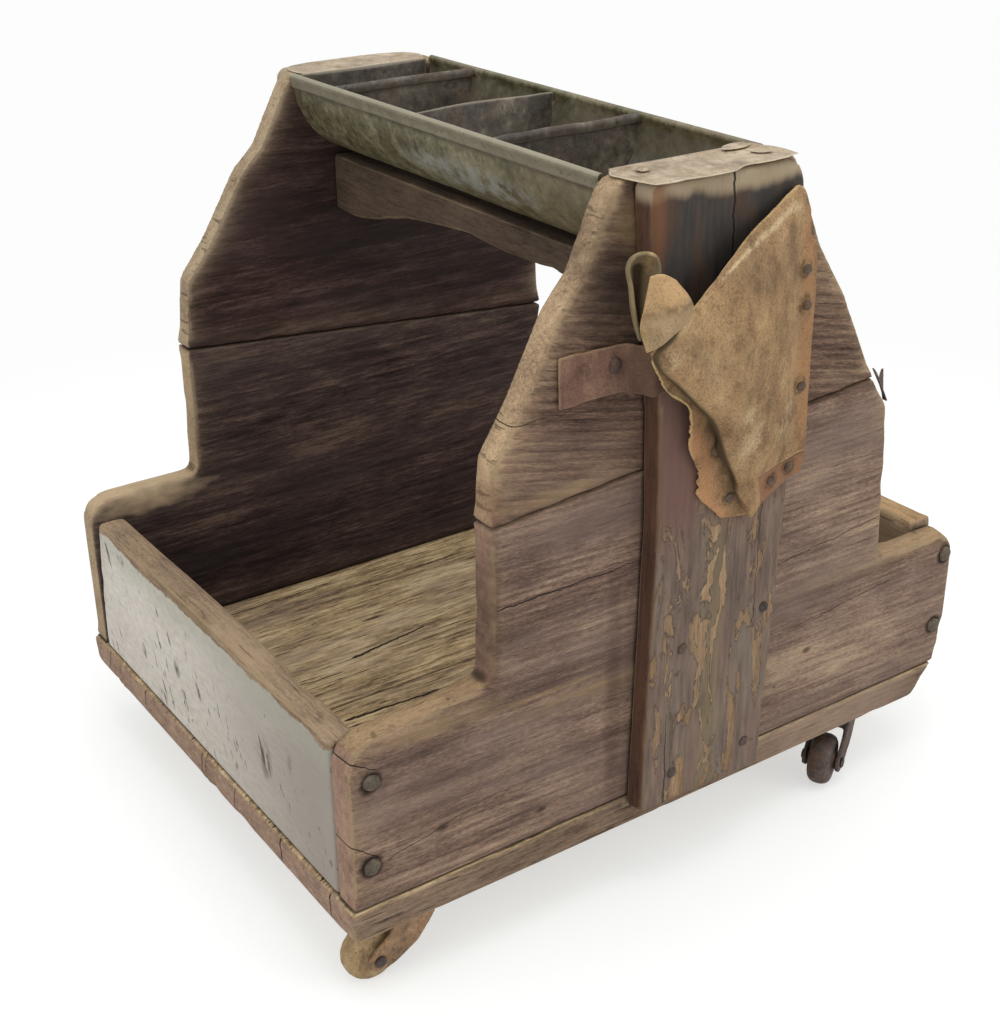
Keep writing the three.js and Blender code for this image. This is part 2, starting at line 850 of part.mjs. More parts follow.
function wheelGeometry() {
  const half = wheelWidth / 2;
  const bore = axleRadius + running;
  const profile = [
    [bore, -half],
    [bore + 3.5, -half],
    [bore + 4.5, -half + 2],
    [wheelRadius - 4, -half + 2],
    [wheelRadius - 1.6, -half + 3.4],
    [wheelRadius, -half + 7],
    [wheelRadius, half - 7],
    [wheelRadius - 1.6, half - 3.4],
    [wheelRadius - 4, half - 2],
    [bore + 4.5, half - 2],
    [bore + 3.5, half],
    [bore, half],
    [bore, -half],
  ].map(([r, y]) => new THREE.Vector2(r, y));
  const geometry = new THREE.LatheGeometry(profile, wheelSegments);
  geometry.translate(-wheelTrail, 0, wheelRadius);
  return geometry;
}

// Where each caster stands, and how far its wheel has swung from trailing straight along -X
const casterPlaces = [
  { label: "near_left", x: -halfLength + casterInsetLeft, y: -halfWidth + casterInsetSide, swing: 0 },
  { label: "near_right", x: halfLength - casterInsetRight, y: -halfWidth + casterInsetSide, swing: 30 },
  { label: "far_left", x: -halfLength + casterInsetLeft, y: halfWidth - casterInsetSide, swing: 165 },
  { label: "far_right", x: halfLength - casterInsetRight, y: halfWidth - casterInsetSide, swing: 15 },
];

function caster({ label, x, y, swing }) {
  const group = new THREE.Group();
  const turning = new THREE.Group();
  turning.position.set(x, y, 0);
  turning.rotation.z = THREE.MathUtils.degToRad(swing);
  turning.add(named(`caster_horn_${label}`, hornGeometry(), finishes.iron));
  turning.add(named(`caster_axle_${label}`, axleGeometry(), finishes.iron));
  turning.add(named(`caster_wheel_${label}`, wheelGeometry(), finishes.iron));
  group.add(casterPlate(`caster_plate_${label}`, x, y));
  group.add(turning);
  return group;
}

// Nails through the side panels into the ends of the end boards
function endNails() {
  const nails = [];
  for (const side of [-1, 1]) {
    const label = side < 0 ? "near" : "far";
    const into = new THREE.Vector3(0, -side, 0);
    const y = side * (halfWidth + headGap);
    const left = -halfLength + endThickness / 2;
    const right = halfLength - 3 - endThickness / 2;
    const places = [
      ["left_upper", left + 4, endHeight - 22.5],
      ["left_lower", left + 1.5, 30],
      ["right_upper", right + 3.5, endHeight - 20.4],
      ["right_lower", right, 33.4],
    ];
    for (const [place, x, height] of places) {
      const at = new THREE.Vector3(x, y, floorTop + height);
      nails.push(nail(`end_nail_${label}_${place}`, at, into, 52, 6, 3));
    }
  }
  return nails;
}

function battenNails() {
  const half = battenTopHalfWidth;
  const places = [
    ["near_batten_nail_1", -1, 32 - half, 19],
    ["near_batten_nail_2", -1, half - 20, 19],
    ["near_batten_nail_3", -1, 36.5 - half, 110],
    ["near_batten_nail_4", -1, half - 10.4, 118],
    ["far_batten_nail_1", 1, 29 - half, 60],
    ["far_batten_nail_2", 1, half - 27, far.top - 73.5],
  ];
  return places.map(([name, side, x, height]) => {
    const at = new THREE.Vector3(x, side * (battenFace + headGap), floorTop + height);
    return nail(name, at, new THREE.Vector3(0, -side, 0), 33, 4, 1.6);
  });
}

function pocketNails() {
  const radius = 3.6;
  const places = [
    [52, 63.5],
    [54, 85.5],
    [55, 136.5],
    [-4, 165],
    [8, 199],
    [40, 196],
    [55, 191],
  ];
  return places.map(([x, drop], k) => {
    const z = floorTop + near.top - drop;
    const off = hideStandOff(x, z, radius + 0.6) + hideThickness / 2 + 0.55;
    const at = new THREE.Vector3(x, -battenFace - off, z);
    return nail(`pocket_nail_${k + 1}`, at, yAxis, 24, radius, 1.5);
  });
}

function strapNail() {
  const off = seat + strapThickness + headGap;
  const z = floorTop + near.top - strapDrop + 3;
  const at = new THREE.Vector3(-strapNailOut, -halfWidth - off, z);
  return nail("strap_nail", at, yAxis, 20, 5, 1.8);
}

function flapNail() {
  const top = floorTop + near.top + seat + flapLift + tinThickness + headGap;
  const at = new THREE.Vector3(-45, -halfWidth + 6, top);
  return nail("flap_nail", at, zAxis.clone().negate(), 24, 4.4, 1.2);
}

// The whole box
function farrierBox() {
  const box = new THREE.Group();
  const ends = endNails();
  const battens = battenNails();
  const pocket = pocketNails();
  const strap = strapNail();
  const flap = flapNail();
  const boresOf = (list, test = () => true) => list.filter((n) => test(n.name)).map((n) => n.bore);
  const nearBores = [
    ...boresOf(ends, (name) => name.startsWith("end_nail_near")),
    ...boresOf(battens, (name) => name.startsWith("near")),
    ...boresOf(pocket),
  ];
  const farBores = [
    ...boresOf(ends, (name) => name.startsWith("end_nail_far")),
    ...boresOf(battens, (name) => name.startsWith("far")),
  ];
  const nearTop = [strap.bore, flap.bore];
  box.add(...panelBoards("near", near, { lower: nearBores, upper: [...nearBores, ...nearTop] }));
  box.add(...panelBoards("far", far, { lower: farBores, upper: farBores }));
  box.add(...floorBoards(casterPlaces.map(({ x, y }) => socketHole(x, y))));
  box.add(leftEndBoard(boresOf(ends, (name) => name.includes("left"))));
  box.add(rightEndBoard(boresOf(ends, (name) => name.includes("right"))));
  box.add(nearBatten([...nearBores, ...nearTop]));
  box.add(farBatten(farBores));
  box.add(trayTrough());
  box.add(trayDivider("tray_divider_far", farDividerPlace, 0, dividerDrop));
  box.add(trayDivider("tray_divider_middle", middleDividerPlace, middleDividerBow, dividerDrop + 1));
  box.add(trayDivider("tray_divider_near", nearDividerPlace, 0, dividerDrop));
  box.add(trayEnd("tray_end_near", near, nearFlapEdge, [flap.bore]));
  box.add(trayEnd("tray_end_far", far, farFlapEdge, []));
  box.add(trayRail([]));
  box.add(leatherPocket(boresOf(pocket)));
  box.add(leatherStrap([strap.bore]));
  box.add(edgeScrap());
  box.add(...casterPlaces.map(caster));
  box.add(...[...ends, ...battens, ...pocket, strap, flap].map((n) => n.mesh));
  return box;
}

// The origin is under the middle of everything, on the ground
const part = farrierBox();
part.updateMatrixWorld(true);
const bounds = new THREE.Box3().setFromObject(part, true);
const centre = bounds.getCenter(new THREE.Vector3());
part.position.set(-centre.x, -centre.y, -bounds.min.z);

export default part;
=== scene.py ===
# %% [markdown]
# # A farrier's shoeing box
#
# The real box is a working tool: four boards make its sides, three its floor, and a tin trough for nails sits
# between the two tall side panels. Everything on it is old. The wood is weathered and split, the paint flakes, the
# tin has lost its shine, and a torn leather pocket hangs from the front batten.
#
# The packed CAD model gives the size and place of every part. This lesson loads it as a fixed frame and then dresses
# each part: boards are carved and grained, sheet metal is bent and dented, and leather is draped over its net of
# points. Nothing is moved, so the joints of the casters still work.

import json
import math

import bmesh
import bpy
import numpy as np
from mathutils import Matrix, Vector
from mathutils.bvhtree import BVHTree


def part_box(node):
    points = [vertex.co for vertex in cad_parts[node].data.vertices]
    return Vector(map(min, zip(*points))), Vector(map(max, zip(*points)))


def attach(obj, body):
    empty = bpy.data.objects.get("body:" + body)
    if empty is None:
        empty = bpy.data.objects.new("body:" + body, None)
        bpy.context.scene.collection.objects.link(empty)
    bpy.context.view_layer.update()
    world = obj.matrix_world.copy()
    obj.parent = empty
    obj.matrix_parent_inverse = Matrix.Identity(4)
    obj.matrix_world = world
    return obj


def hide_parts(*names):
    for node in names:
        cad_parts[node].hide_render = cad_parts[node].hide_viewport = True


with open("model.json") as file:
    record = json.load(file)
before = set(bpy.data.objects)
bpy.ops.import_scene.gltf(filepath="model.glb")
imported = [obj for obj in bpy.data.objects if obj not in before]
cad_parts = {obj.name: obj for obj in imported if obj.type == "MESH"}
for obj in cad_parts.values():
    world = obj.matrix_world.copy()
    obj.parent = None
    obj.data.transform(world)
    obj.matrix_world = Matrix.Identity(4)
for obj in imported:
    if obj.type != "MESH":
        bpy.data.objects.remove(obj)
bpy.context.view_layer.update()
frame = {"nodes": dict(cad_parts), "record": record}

# %% [markdown]
# ## The camera
#
# The photographer stood in front of the left corner and looked down at the box. A direction, a small tilt and a lens
# are enough to repeat that view. The camera's place is counted from the point on the ground that lies midway between
# the two side panels, so that it stays right if the box is ever packed again with another origin.

# %% Place the camera
near_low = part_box("near_lower_board")
far_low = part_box("far_lower_board")
middle = Vector(((near_low[0].x + near_low[1].x) / 2, (near_low[0].y + far_low[1].y) / 2, 0))

lens = bpy.data.cameras.new("photo_camera")
lens.lens = 55.69
camera = bpy.data.objects.new("photo_camera", lens)
turn = Matrix.Rotation(math.radians(-34.23), 4, "Z")
tip = Matrix.Rotation(math.radians(90 - 26.13), 4, "X")
tilt = Matrix.Rotation(math.radians(-0.6), 4, "Z")
camera.matrix_world = Matrix.Translation(middle + Vector((-0.5902, -0.8550, 0.6933))) @ turn @ tip @ tilt
bpy.context.scene.collection.objects.link(camera)
bpy.context.scene.camera = camera
bpy.context.scene.view_settings.view_transform = "Standard"
print("camera at", [round(c, 3) for c in camera.location])

# %% [markdown]
# ## Writing a finish
#
# A finish is a graph of shader nodes. Dragging nodes about is slow to read back, so here a finish is written as a
# sum: one small class wraps a socket, and `+`, `-`, `*` and `/` on it add the Math nodes. `1 - mask` works too,
# because the reflected operators are there as well. All other nodes come from `Finish.add`.

# %% A socket that can be added and multiplied
class Number:
    """A number that changes over the surface. Arithmetic on it adds Math nodes."""

    def __init__(self, finish, socket):
        self.finish, self.socket = finish, socket

    def math(self, operation, *others, clamp=False):
        settings = {"operation": operation, "use_clamp": clamp}
        return Number(self.finish, self.finish.add("Math", settings, self, *others))

    def __add__(self, other):
        return self.math("ADD", other)

    def __sub__(self, other):
        return self.math("SUBTRACT", other)

    def __mul__(self, other):
        return self.math("MULTIPLY", other)

    def __truediv__(self, other):
        return self.math("DIVIDE", other)

    def __pow__(self, other):
        return self.math("POWER", other)

    def __rsub__(self, other):
        return self * -1 + other

    def __abs__(self):
        return self.math("ABSOLUTE")

    __radd__, __rmul__ = __add__, __mul__

    def clamp(self):
        """The number, held between 0 and 1."""
        return self.math("ADD", 0, clamp=True)

    def step(self, low, high):
        """Rises smoothly from 0 to 1 while the number goes from low to high."""
        settings = {"interpolation_type": "SMOOTHSTEP"}
        return Number(self.finish, self.finish.add("MapRange", settings, self, low, high, 0, 1))


# %% A finish: one material and the ways to fill it
def linear(tone):
    """A colour as a paint chart writes it, such as "#7d6554", in the linear light that shaders use."""
    parts = [int(tone[i : i + 2], 16) / 255 for i in (1, 3, 5)]
    return [*(c / 12.92 if c <= 0.04045 else ((c + 0.055) / 1.055) ** 2.4 for c in parts), 1]


class Finish:
    """A node material. `add` makes any node: its type, its settings, then its inputs in order."""

    def __init__(self, name):
        self.material = bpy.data.materials.new(name)
        self.material.use_nodes = True
        self.tree = self.material.node_tree
        self.tree.nodes.clear()

    def add(self, kind, settings, *inputs, output=None, **named_inputs):
        node = self.tree.nodes.new("ShaderNode" + kind)
        for name, value in settings.items():
            if name == "stops":
                self.set_stops(node.color_ramp, value)
            else:
                setattr(node, name, value)
        sockets = [s for s in node.inputs if s.enabled]
        by_name = {s.name: s for s in sockets}
        pairs = [*zip(sockets, inputs), *((by_name[k.replace("_", " ")], v) for k, v in named_inputs.items())]
        for socket, value in pairs:
            self.fill(socket, value)
        outputs = [s for s in node.outputs if s.enabled]
        return next((s for s in outputs if s.name == output), outputs[0] if outputs else None)

    def fill(self, socket, value):
        value = getattr(value, "socket", value)
        if isinstance(value, bpy.types.NodeSocket):
            self.tree.links.new(value, socket)
        elif value is not None:
            socket.default_value = linear(value) if isinstance(value, str) and value[:1] == "#" else value

    def set_stops(self, ramp, stops):
        for _ in stops[2:]:
            ramp.elements.new(0.5)
        for element, (place, tone) in zip(ramp.elements, stops):
            element.position, element.color = place, linear(tone)

    def number(self, *made, **also):
        return Number(self, self.add(*made, **also))

    def place(self):
        """Where the surface is, in the box's own metres, as three numbers."""
        where = self.add("TexCoord", {}, output="Object")
        node = self.tree.nodes.new("ShaderNodeSeparateXYZ")
        self.tree.links.new(where, node.inputs[0])
        return [Number(self, s) for s in node.outputs]

    def noise(self, x, y, z, detail=3, rough=0.5, twist=0):
        """Soft random numbers about 0.5, from three coordinates that may be stretched first."""
        at = self.add("CombineXYZ", {}, x, y, z)
        return self.number("TexNoise", {}, at, Scale=1, Detail=detail, Roughness=rough, Distortion=twist)

    def ramp(self, number, *stops):
        """A tone that changes with a number. Each stop is (number, tone)."""
        return self.add("ValToRGB", {"stops": stops}, number)

    def mix(self, share, first, second):
        """The first tone where the share is 0, and the second where it is 1."""
        return self.add("Mix", {"data_type": "RGBA"}, share, first, second)

    def mark(self, name):
        """A number that was worked out for each point of the mesh."""
        return self.number("Attribute", {"attribute_name": name}, output="Fac")

    def close(self, tone, roughness, height, metallic=0, depth=0.001, strength=1, **also):
        """The shader itself. The height is in units of depth, and a Bump node turns it into relief."""
        bump = self.add("Bump", {}, Strength=strength, Distance=depth, Height=height)
        shader = self.add(
            "BsdfPrincipled", {}, Base_Color=tone, Roughness=roughness, Metallic=metallic, Normal=bump, **also
        )
        self.add("OutputMaterial", {}, shader)
        return self.material


print("a finish is written with", [m for m in vars(Finish) if m[0] != "_"])

# %% [markdown]
# ## Floor, backdrop and light
#
# The box stands on a white sweep under soft light from above. A very bright lamp would bleach the pale paint, so the
# white comes from the floor itself: what the camera sees is partly a plain white, all of it far away from the box,
# and partly a lit white surface, which shows the shadow. The sky is an even white that also fills the shadows, and
# three large lamps give the shapes their gentle modelling.

# %% White floor
sweep = Finish("white_sweep")
x, y, z = sweep.place()
away = ((x * x + y * y) ** 0.5).step(0.45, 1.1)
seen = sweep.number("LightPath", {}, output="Is Camera Ray")
mirrored = sweep.number("LightPath", {}, output="Is Glossy Ray")
lit = sweep.add("BsdfDiffuse", {}, "#e9eae9")
brighter = sweep.add("AddShader", {}, lit, sweep.add("Emission", {}, "#ffffff", 0.32))
plain = sweep.add("Emission", {}, "#fcfdfc", 1.0)
to_the_eye = sweep.add("MixShader", {}, away * 0.65 + 0.35, brighter, plain)
sweep.add("OutputMaterial", {}, sweep.add("MixShader", {}, (seen + mirrored).clamp(), lit, to_the_eye))

floor_mesh = bpy.data.meshes.new("sweep")
floor_mesh.from_pydata([(-6, -6, 0), (6, -6, 0), (6, 6, 0), (-6, 6, 0)], [], [(0, 1, 2, 3)])
floor_mesh.materials.append(sweep.material)
floor = bpy.data.objects.new("sweep", floor_mesh)
bpy.context.scene.collection.objects.link(floor)
print("floor finish:", len(sweep.tree.nodes), "nodes")

# %% White sky
world = bpy.data.worlds.new("studio")
bpy.context.scene.world = world
world.use_nodes = True
sky = world.node_tree
sky.nodes.clear()
path = sky.nodes.new("ShaderNodeLightPath")
either = sky.nodes.new("ShaderNodeMath")
either.operation = "MAXIMUM"
strength = sky.nodes.new("ShaderNodeMapRange")
strength.inputs["To Min"].default_value = 0.72
strength.inputs["To Max"].default_value = 1.0
background = sky.nodes.new("ShaderNodeBackground")
background.inputs["Color"].default_value = linear("#f9fbfa")
sky_output = sky.nodes.new("ShaderNodeOutputWorld")
sky.links.new(path.outputs["Is Camera Ray"], either.inputs[0])
sky.links.new(path.outputs["Is Transmission Ray"], either.inputs[1])
sky.links.new(either.outputs[0], strength.inputs["Value"])
sky.links.new(strength.outputs["Result"], background.inputs["Strength"])
sky.links.new(background.outputs[0], sky_output.inputs["Surface"])
print("sky:", len(sky.nodes), "nodes")


# %% Three soft lamps
def softbox(name, place, aim, width, watts):
    """A square lamp that points at a spot."""
    lamp = bpy.data.lights.new(name, "AREA")
    lamp.size, lamp.energy = width, watts
    holder = bpy.data.objects.new(name, lamp)
    holder.location = place
    holder.rotation_euler = (Vector(aim) - Vector(place)).to_track_quat("-Z", "Y").to_euler()
    bpy.context.scene.collection.objects.link(holder)


softbox("lamp_above", (-0.1, -0.2, 2.0), (0, 0, 0.2), 1.3, 14)
softbox("lamp_left", (-1.9, -0.6, 1.3), (0, 0, 0.2), 1.2, 7)
softbox("lamp_front", (1.3, -1.9, 1.2), (0, 0, 0.2), 1.2, 9)

# %% [markdown]
# ## Carving a board
#
# A board from the CAD model has straight edges and flat faces. On the real box no edge is straight: corners are
# rounded by hands and knocks, and the soft wood between the growth rings has worn away. So each board is rebuilt as a
# fine even mesh with the voxel remesher, and its points are then moved by hand-made noise.
#
# All moves go inwards. The carved board therefore stays inside its CAD board and never grows into its neighbour.
# Some numbers are kept for each point, so that the finish can find them later. `worn` is high on outer edges and
# `rub` in a wider band along them, `grime` in hollows and where boards touch, where it darkens the wood as
# dirt and as painted shade, `edge` on the narrow faces, and `end` where the grain is cut across.

# %% Noise for moving points
def soft_noise(points, size, seed):
    """Smooth random numbers from -1 to 1. Size is how long the lumps are along X, Y and Z, in metres."""
    cells = np.random.default_rng(seed).random((32, 32, 32))
    spots = points / np.asarray(size) + 0.37 * seed
    low = np.floor(spots).astype(int)
    part = spots - low
    part = part * part * (3 - 2 * part)
    total = np.zeros(len(points))
    for corner in np.ndindex(2, 2, 2):
        i, j, k = ((low + corner) % 32).T
        total += np.prod(np.where(corner, part, 1 - part), axis=1) * cells[i, j, k]
    return 2 * total - 1


def line_noise(places, size, seed):
    """The same for places along a line."""
    return soft_noise(np.column_stack([places, places * 0, places * 0]), (size, 1, 1), seed)


def eased(points, edges, rounds):
    """The points after each has moved to the middle of its neighbours, some rounds over."""
    a, b = edges.T
    count = np.bincount(edges.ravel(), minlength=len(points))[:, None]
    for _ in range(rounds):
        sums = [np.bincount(a, points[b, k], len(points)) + np.bincount(b, points[a, k], len(points)) for k in range(3)]
        points = np.stack(sums, axis=1) / count
    return points


# %% Reading and writing a mesh as arrays
def read_points(mesh):
    flat = np.zeros(3 * len(mesh.vertices), np.float32)
    mesh.vertices.foreach_get("co", flat)
    return flat.reshape(-1, 3).astype(float)


def read_normals(mesh):
    flat = np.zeros(3 * len(mesh.vertices), np.float32)
    mesh.vertices.foreach_get("normal", flat)
    return flat.reshape(-1, 3).astype(float)


def read_edges(mesh):
    flat = np.zeros(2 * len(mesh.edges), np.int32)
    mesh.edges.foreach_get("vertices", flat)
    return flat.reshape(-1, 2)


def write_points(mesh, points):
    mesh.vertices.foreach_set("co", points.astype(np.float32).ravel())
    mesh.update()


def write_mark(mesh, name, values):
    mark = mesh.attributes.new(name, "FLOAT", "POINT")
    mark.data.foreach_set("value", np.asarray(values, np.float32))


# %% An even, fine copy of a CAD node
def fine_copy(node, voxel):
    """A mesh of the node with even small faces. Lumps a little smaller than the voxel are lost."""
    mesh = frame["nodes"][node].data.copy()
    weld = bmesh.new()
    weld.from_mesh(mesh)
    bmesh.ops.remove_doubles(weld, verts=weld.verts, dist=1e-6)
    weld.to_mesh(mesh)
    weld.free()
    maker = bpy.data.objects.new("maker", mesh)
    bpy.context.scene.collection.objects.link(maker)
    remesh = maker.modifiers.new("remesh", "REMESH")
    remesh.mode, remesh.voxel_size = "VOXEL", voxel * 1
    shown_maker = maker.evaluated_get(bpy.context.evaluated_depsgraph_get())
    fine = bpy.data.meshes.new_from_object(shown_maker)
    bpy.data.objects.remove(maker)
    bpy.data.meshes.remove(mesh)
    return fine


def show(name, mesh, finish, body="root", stands_for=()):
    """Puts a finished mesh in the scene, on its CAD body."""
    mesh.materials.clear()
    mesh.materials.append(finish)
    mesh.shade_smooth()
    piece = bpy.data.objects.new(name, mesh)
    bpy.context.scene.collection.objects.link(piece)
    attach(piece, body)
    if stands_for:
        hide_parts(*stands_for)
    return piece


# %% Where boards touch each other
def touching(node, points, reach=0.012):
    """1 where another board lies on this one, falling to 0 at the reach."""
    low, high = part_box(node)
    corners, faces = [], []
    for other, part in frame["nodes"].items():
        start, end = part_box(other)
        apart = any(start[k] > high[k] + reach or end[k] < low[k] - reach for k in range(3))
        wooden = any(word in other for word in ("board", "batten", "rail")) and "nail" not in other
        if other == node or apart or not wooden:
            continue
        faces += [[len(corners) + i for i in polygon.vertices] for polygon in part.data.polygons]
        corners += [vertex.co for vertex in part.data.vertices]
    tree = BVHTree.FromPolygons(corners, faces)
    gaps = [tree.find_nearest(point, reach)[3] for point in points.tolist()]
    return np.array([0.0 if gap is None else 1 - gap / reach for gap in gaps])


# %% Carve it
# Each grain gives the axes along, across and through a board.
SIDE_GRAIN, END_GRAIN, POST_GRAIN, FLOOR_GRAIN, RAIL_GRAIN = (0, 2, 1), (1, 2, 0), (2, 0, 1), (0, 1, 2), (1, 0, 2)


def carve(node, finish, grain, seed, voxel=0.0025, wear=0.7, dents=0.9, furrow=0.0001):
    """Replaces a CAD board by a worn one. The furrows are long along the grain."""
    mesh = fine_copy(node, voxel)
    start, edges, normals = read_points(mesh), read_edges(mesh), read_normals(mesh)
    near_another = touching(node, start)
    hidden = np.clip((near_another - 0.85) / 0.15, 0, 1)
    close_mean = eased(start, edges, 3)
    near_mean = eased(close_mean, edges, 5)
    wide_mean = eased(near_mean, edges, 26)
    outward = np.sum((start - close_mean) * normals, axis=1)
    sharpness = outward / np.percentile(outward, 99.3)
    knocks = np.clip(soft_noise(start, (0.02, 0.02, 0.02), seed) - 0.2, 0, 1) ** 1.4 * dents
    bare = 1 - np.clip(near_another * 1.4, 0, 1)[:, None]
    points = start + ((near_mean - start) * wear + (wide_mean - near_mean) * knocks[:, None]) * bare
    length = np.full(3, 0.013)
    length[grain[0]] = 0.2
    waves = soft_noise(start, length, seed + 1)
    points -= normals * (furrow * np.clip(waves, 0, 2))[:, None]
    low, high = (np.array(c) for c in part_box(node))
    write_points(mesh, np.clip(points, low, high))
    write_mark(mesh, "worn", np.clip(sharpness, 0, 1) * bare[:, 0])
    # Dirt and painted shade: hollows, and places where another board lies close, are marked for darkening.
    write_mark(mesh, "grime", np.clip(np.clip(-sharpness, 0, 1) + hidden, 0, 1))
    broad = np.sum((start - wide_mean) * normals, axis=1)
    write_mark(mesh, "rub", np.clip(broad / np.percentile(broad, 97), 0, 1) * bare[:, 0])
    open_air = 1 - np.clip((near_another - 0.72) / 0.2, 0, 1)
    write_mark(mesh, "edge", np.clip((0.8 - np.abs(normals[:, grain[2]])) / 0.45, 0, 1) * open_air)
    write_mark(mesh, "end", np.clip((np.abs(normals[:, grain[0]]) - 0.6) / 0.3, 0, 1))
    print(node, "carved:", len(start), "points")
    return show(node.replace("_board", "_plank"), mesh, finish, stands_for=[node])


# %% [markdown]
# ## The finish of old wood
#
# Wood is not painted on: the rings run right through the board, and each face cuts them another way. So the finish
# works in solid space. Rings are circles about a pith line beside the board, wobbled by stretched noise, and the end
# grain then comes out right by itself. Over the rings lie fine fibres, dark soaked streaks, grey weathering, pale
# worn edges and splits. A split is a line on the face that the shader darkens and sinks.

# %% Grain, fibres and rings
def grain_of(finish, along, across, through, pith, spacing, wobble=0.012, tilt=0.0):
    """Rings from 0 to 1 and fibres about 0.5, for coordinates along, across and through the grain."""
    sway = finish.noise(along * 2.6, across * 9, through * 9, detail=2) - 0.5
    aside = across - pith[0] + along * tilt + sway * wobble
    below = through - pith[1] + sway * (wobble * 0.5)
    radius = (aside * aside + below * below) ** 0.5
    ring = (radius / spacing + sway * 1.5).math("FRACT")
    late = ring.step(0.25, 0.95) * (1 - ring.step(0.95, 1.0))
    leaning = across + along * tilt
    fibre = finish.noise(along * 42, leaning * 430, through * 430, detail=4, rough=0.62)
    hair = finish.noise(along * 260, leaning * 1100, through * 1100, detail=3, rough=0.65)
    return late, fibre, hair


def split_mask(finish, along, across, splits):
    """1 in the splits and 0 elsewhere. A split is (start, end, width at the start, width at the end), in metres."""
    jitter = (finish.noise(along * 60, across * 6, 0, detail=3, rough=0.7) - 0.5) * 0.006
    total = None
    for (a0, c0), (a1, c1), w0, w1 in splits:
        share = ((along - a0) / (a1 - a0)).clamp()
        line = share * (c1 - c0) + c0 + jitter
        half = (share * (w1 - w0) + w0) * (share * (1 - share) * 30).clamp() * 0.5
        mask = (1 - abs(across - line) / (half + 0.00004)).math("MULTIPLY", 2.2, clamp=True)
        mask = mask * ((share * (1 - share)) * 400).clamp()
        total = mask if total is None else total.math("MAXIMUM", mask)
    return total


# %% Layers of old bare wood
def wood_layers(finish, grain, tones, pith=(0.1, -0.06), spacing=0.004, tilt=0.0, weather="#6f615b", weathered=0.6,
                soak="#2b2019", soaked=0.3, rim="#a08a6a", edges=("#7b634c", "#aa8e69"), ends=None, splits=(),
                end_splits=(), stains=(), rings=0.1, bands=0.9, checks=0.45, rubbed=0.4, tears=0.0, fibres=0.8,
                back=None):
    """Tone, roughness and height of bare wood.

    Pith is where the rings have their middle, across and through the board. Each stain, and each patch of painted
    shade, is (place, size, strength) and may add a tone. Back is a place through the board and four tones for the face
    beyond it.
    """
    place = finish.place()
    along, across, through = (place[axis] for axis in grain)
    late, fibre, hair = grain_of(finish, along, across, through, pith, spacing, tilt=tilt)
    leaning = across + along * tilt
    band = finish.noise(along * 3, leaning * 24, through * 24, detail=4, rough=0.62)
    cloud = finish.noise(along * 14, across * 30, through * 30, detail=4, rough=0.6)
    light = (0.5 + (band - 0.5) * bands + (fibre - 0.5) * fibres + (hair - 0.5) * 0.7 + (cloud - 0.5) * 0.6
             - (late - 0.35) * rings)
    tone = finish.ramp(light, (0.15, tones[0]), (0.42, tones[1]), (0.6, tones[2]), (0.88, tones[3]))
    grey = finish.noise(along * 5, leaning * 20 + 7, through * 20, detail=5, rough=0.62).step(0.42, 0.66)
    tone = finish.mix(grey * weathered, tone, weather)
    streak = finish.noise(along * 13, leaning * 190, through * 190, detail=5, rough=0.7).step(0.57, 0.74)
    tone = finish.mix(streak * soaked, tone, soak)
    if back:
        other_face = finish.ramp(light, (0.15, back[1]), (0.42, back[2]), (0.6, back[3]), (0.88, back[4]))
        tone = finish.mix((through - back[0]).step(0, 0.004) * 0.9, tone, other_face)
    side = finish.ramp(cloud * 0.4 + fibre * 0.3 + hair * 0.3, (0.38, edges[0]), (0.58, edges[1]))
    rubbed_here = (finish.mark("rub") * (cloud * 1.3 + 0.1) * rubbed).clamp()
    tone = finish.mix(finish.mark("edge").math("MAXIMUM", rubbed_here) * 0.88, tone, side)
    tear = finish.noise(along * 130, across * 240, through * 34, detail=3, rough=0.6).step(0.6, 0.66) * tears
    tone = finish.mix(tear * finish.mark("edge"), tone, soak)
    if ends:
        cut = finish.noise(along * 90, across * 150, through * 300, detail=4, rough=0.7)
        end = finish.ramp(cut * 0.6 + cloud * 0.4, (0.36, ends[0]), (0.62, ends[1]))
        tone = finish.mix(finish.mark("end"), tone, end)
    worn = (finish.mark("worn") * (0.2 + cloud * 1.2)).step(0.3, 0.85)
    tone = finish.mix(worn * 0.7, tone, rim)
    # Dirt and painted shade: hollows and joints darken to almost black.
    tone = finish.mix(finish.mark("grime").step(0.0, 0.9) * 0.85, tone, "#1a120e")
    check = finish.noise(along * 24, leaning * 560, through * 560, detail=3, rough=0.6).step(0.63, 0.69)
    tone = finish.mix(check * checks, tone, "#1d1512")
    height = (fibre - 0.5) * 0.7 + (hair - 0.5) * 0.4 - late * 0.1 - streak * 0.15 - check * 0.8
    height = height - tear * finish.mark("edge") * 1.4
    # Stains, and dark patches of painted shade beside the batten.
    for (a, c), (long, wide), dark, *tint in stains:
        spot = ((along - a) / long) ** 2 + ((across - c) / wide) ** 2
        edge = finish.noise(along * 60, across * 140, through * 60, detail=3) * 1.1
        tone = finish.mix((1 - (spot + edge - 0.3)).clamp() * dark, tone, tint[0] if tint else soak)
    masks = [split_mask(finish, along, across, splits)] if splits else []
    if end_splits:
        masks.append(split_mask(finish, through, across, end_splits) * finish.mark("end"))
    for mask in masks:
        tone = finish.mix(mask * 0.93, tone, "#0d0907")
        height = height - mask * 3.5
    return tone, 0.86 - (light - 0.5) * 0.2, height


# %% A whole finish of bare wood
def old_wood(name, grain, tones, relief=0.5, **layers):
    """Bare wood. The tones run from the darkest to the palest."""
    finish = Finish(name)
    tone, rough, height = wood_layers(finish, grain, tones, **layers)
    return finish.close(tone, rough, height, depth=0.0005, strength=relief, Specular_IOR_Level=0.25)


def mm(*numbers):
    """Numbers in millimetres, as metres."""
    return tuple(n / 1000 for n in numbers)


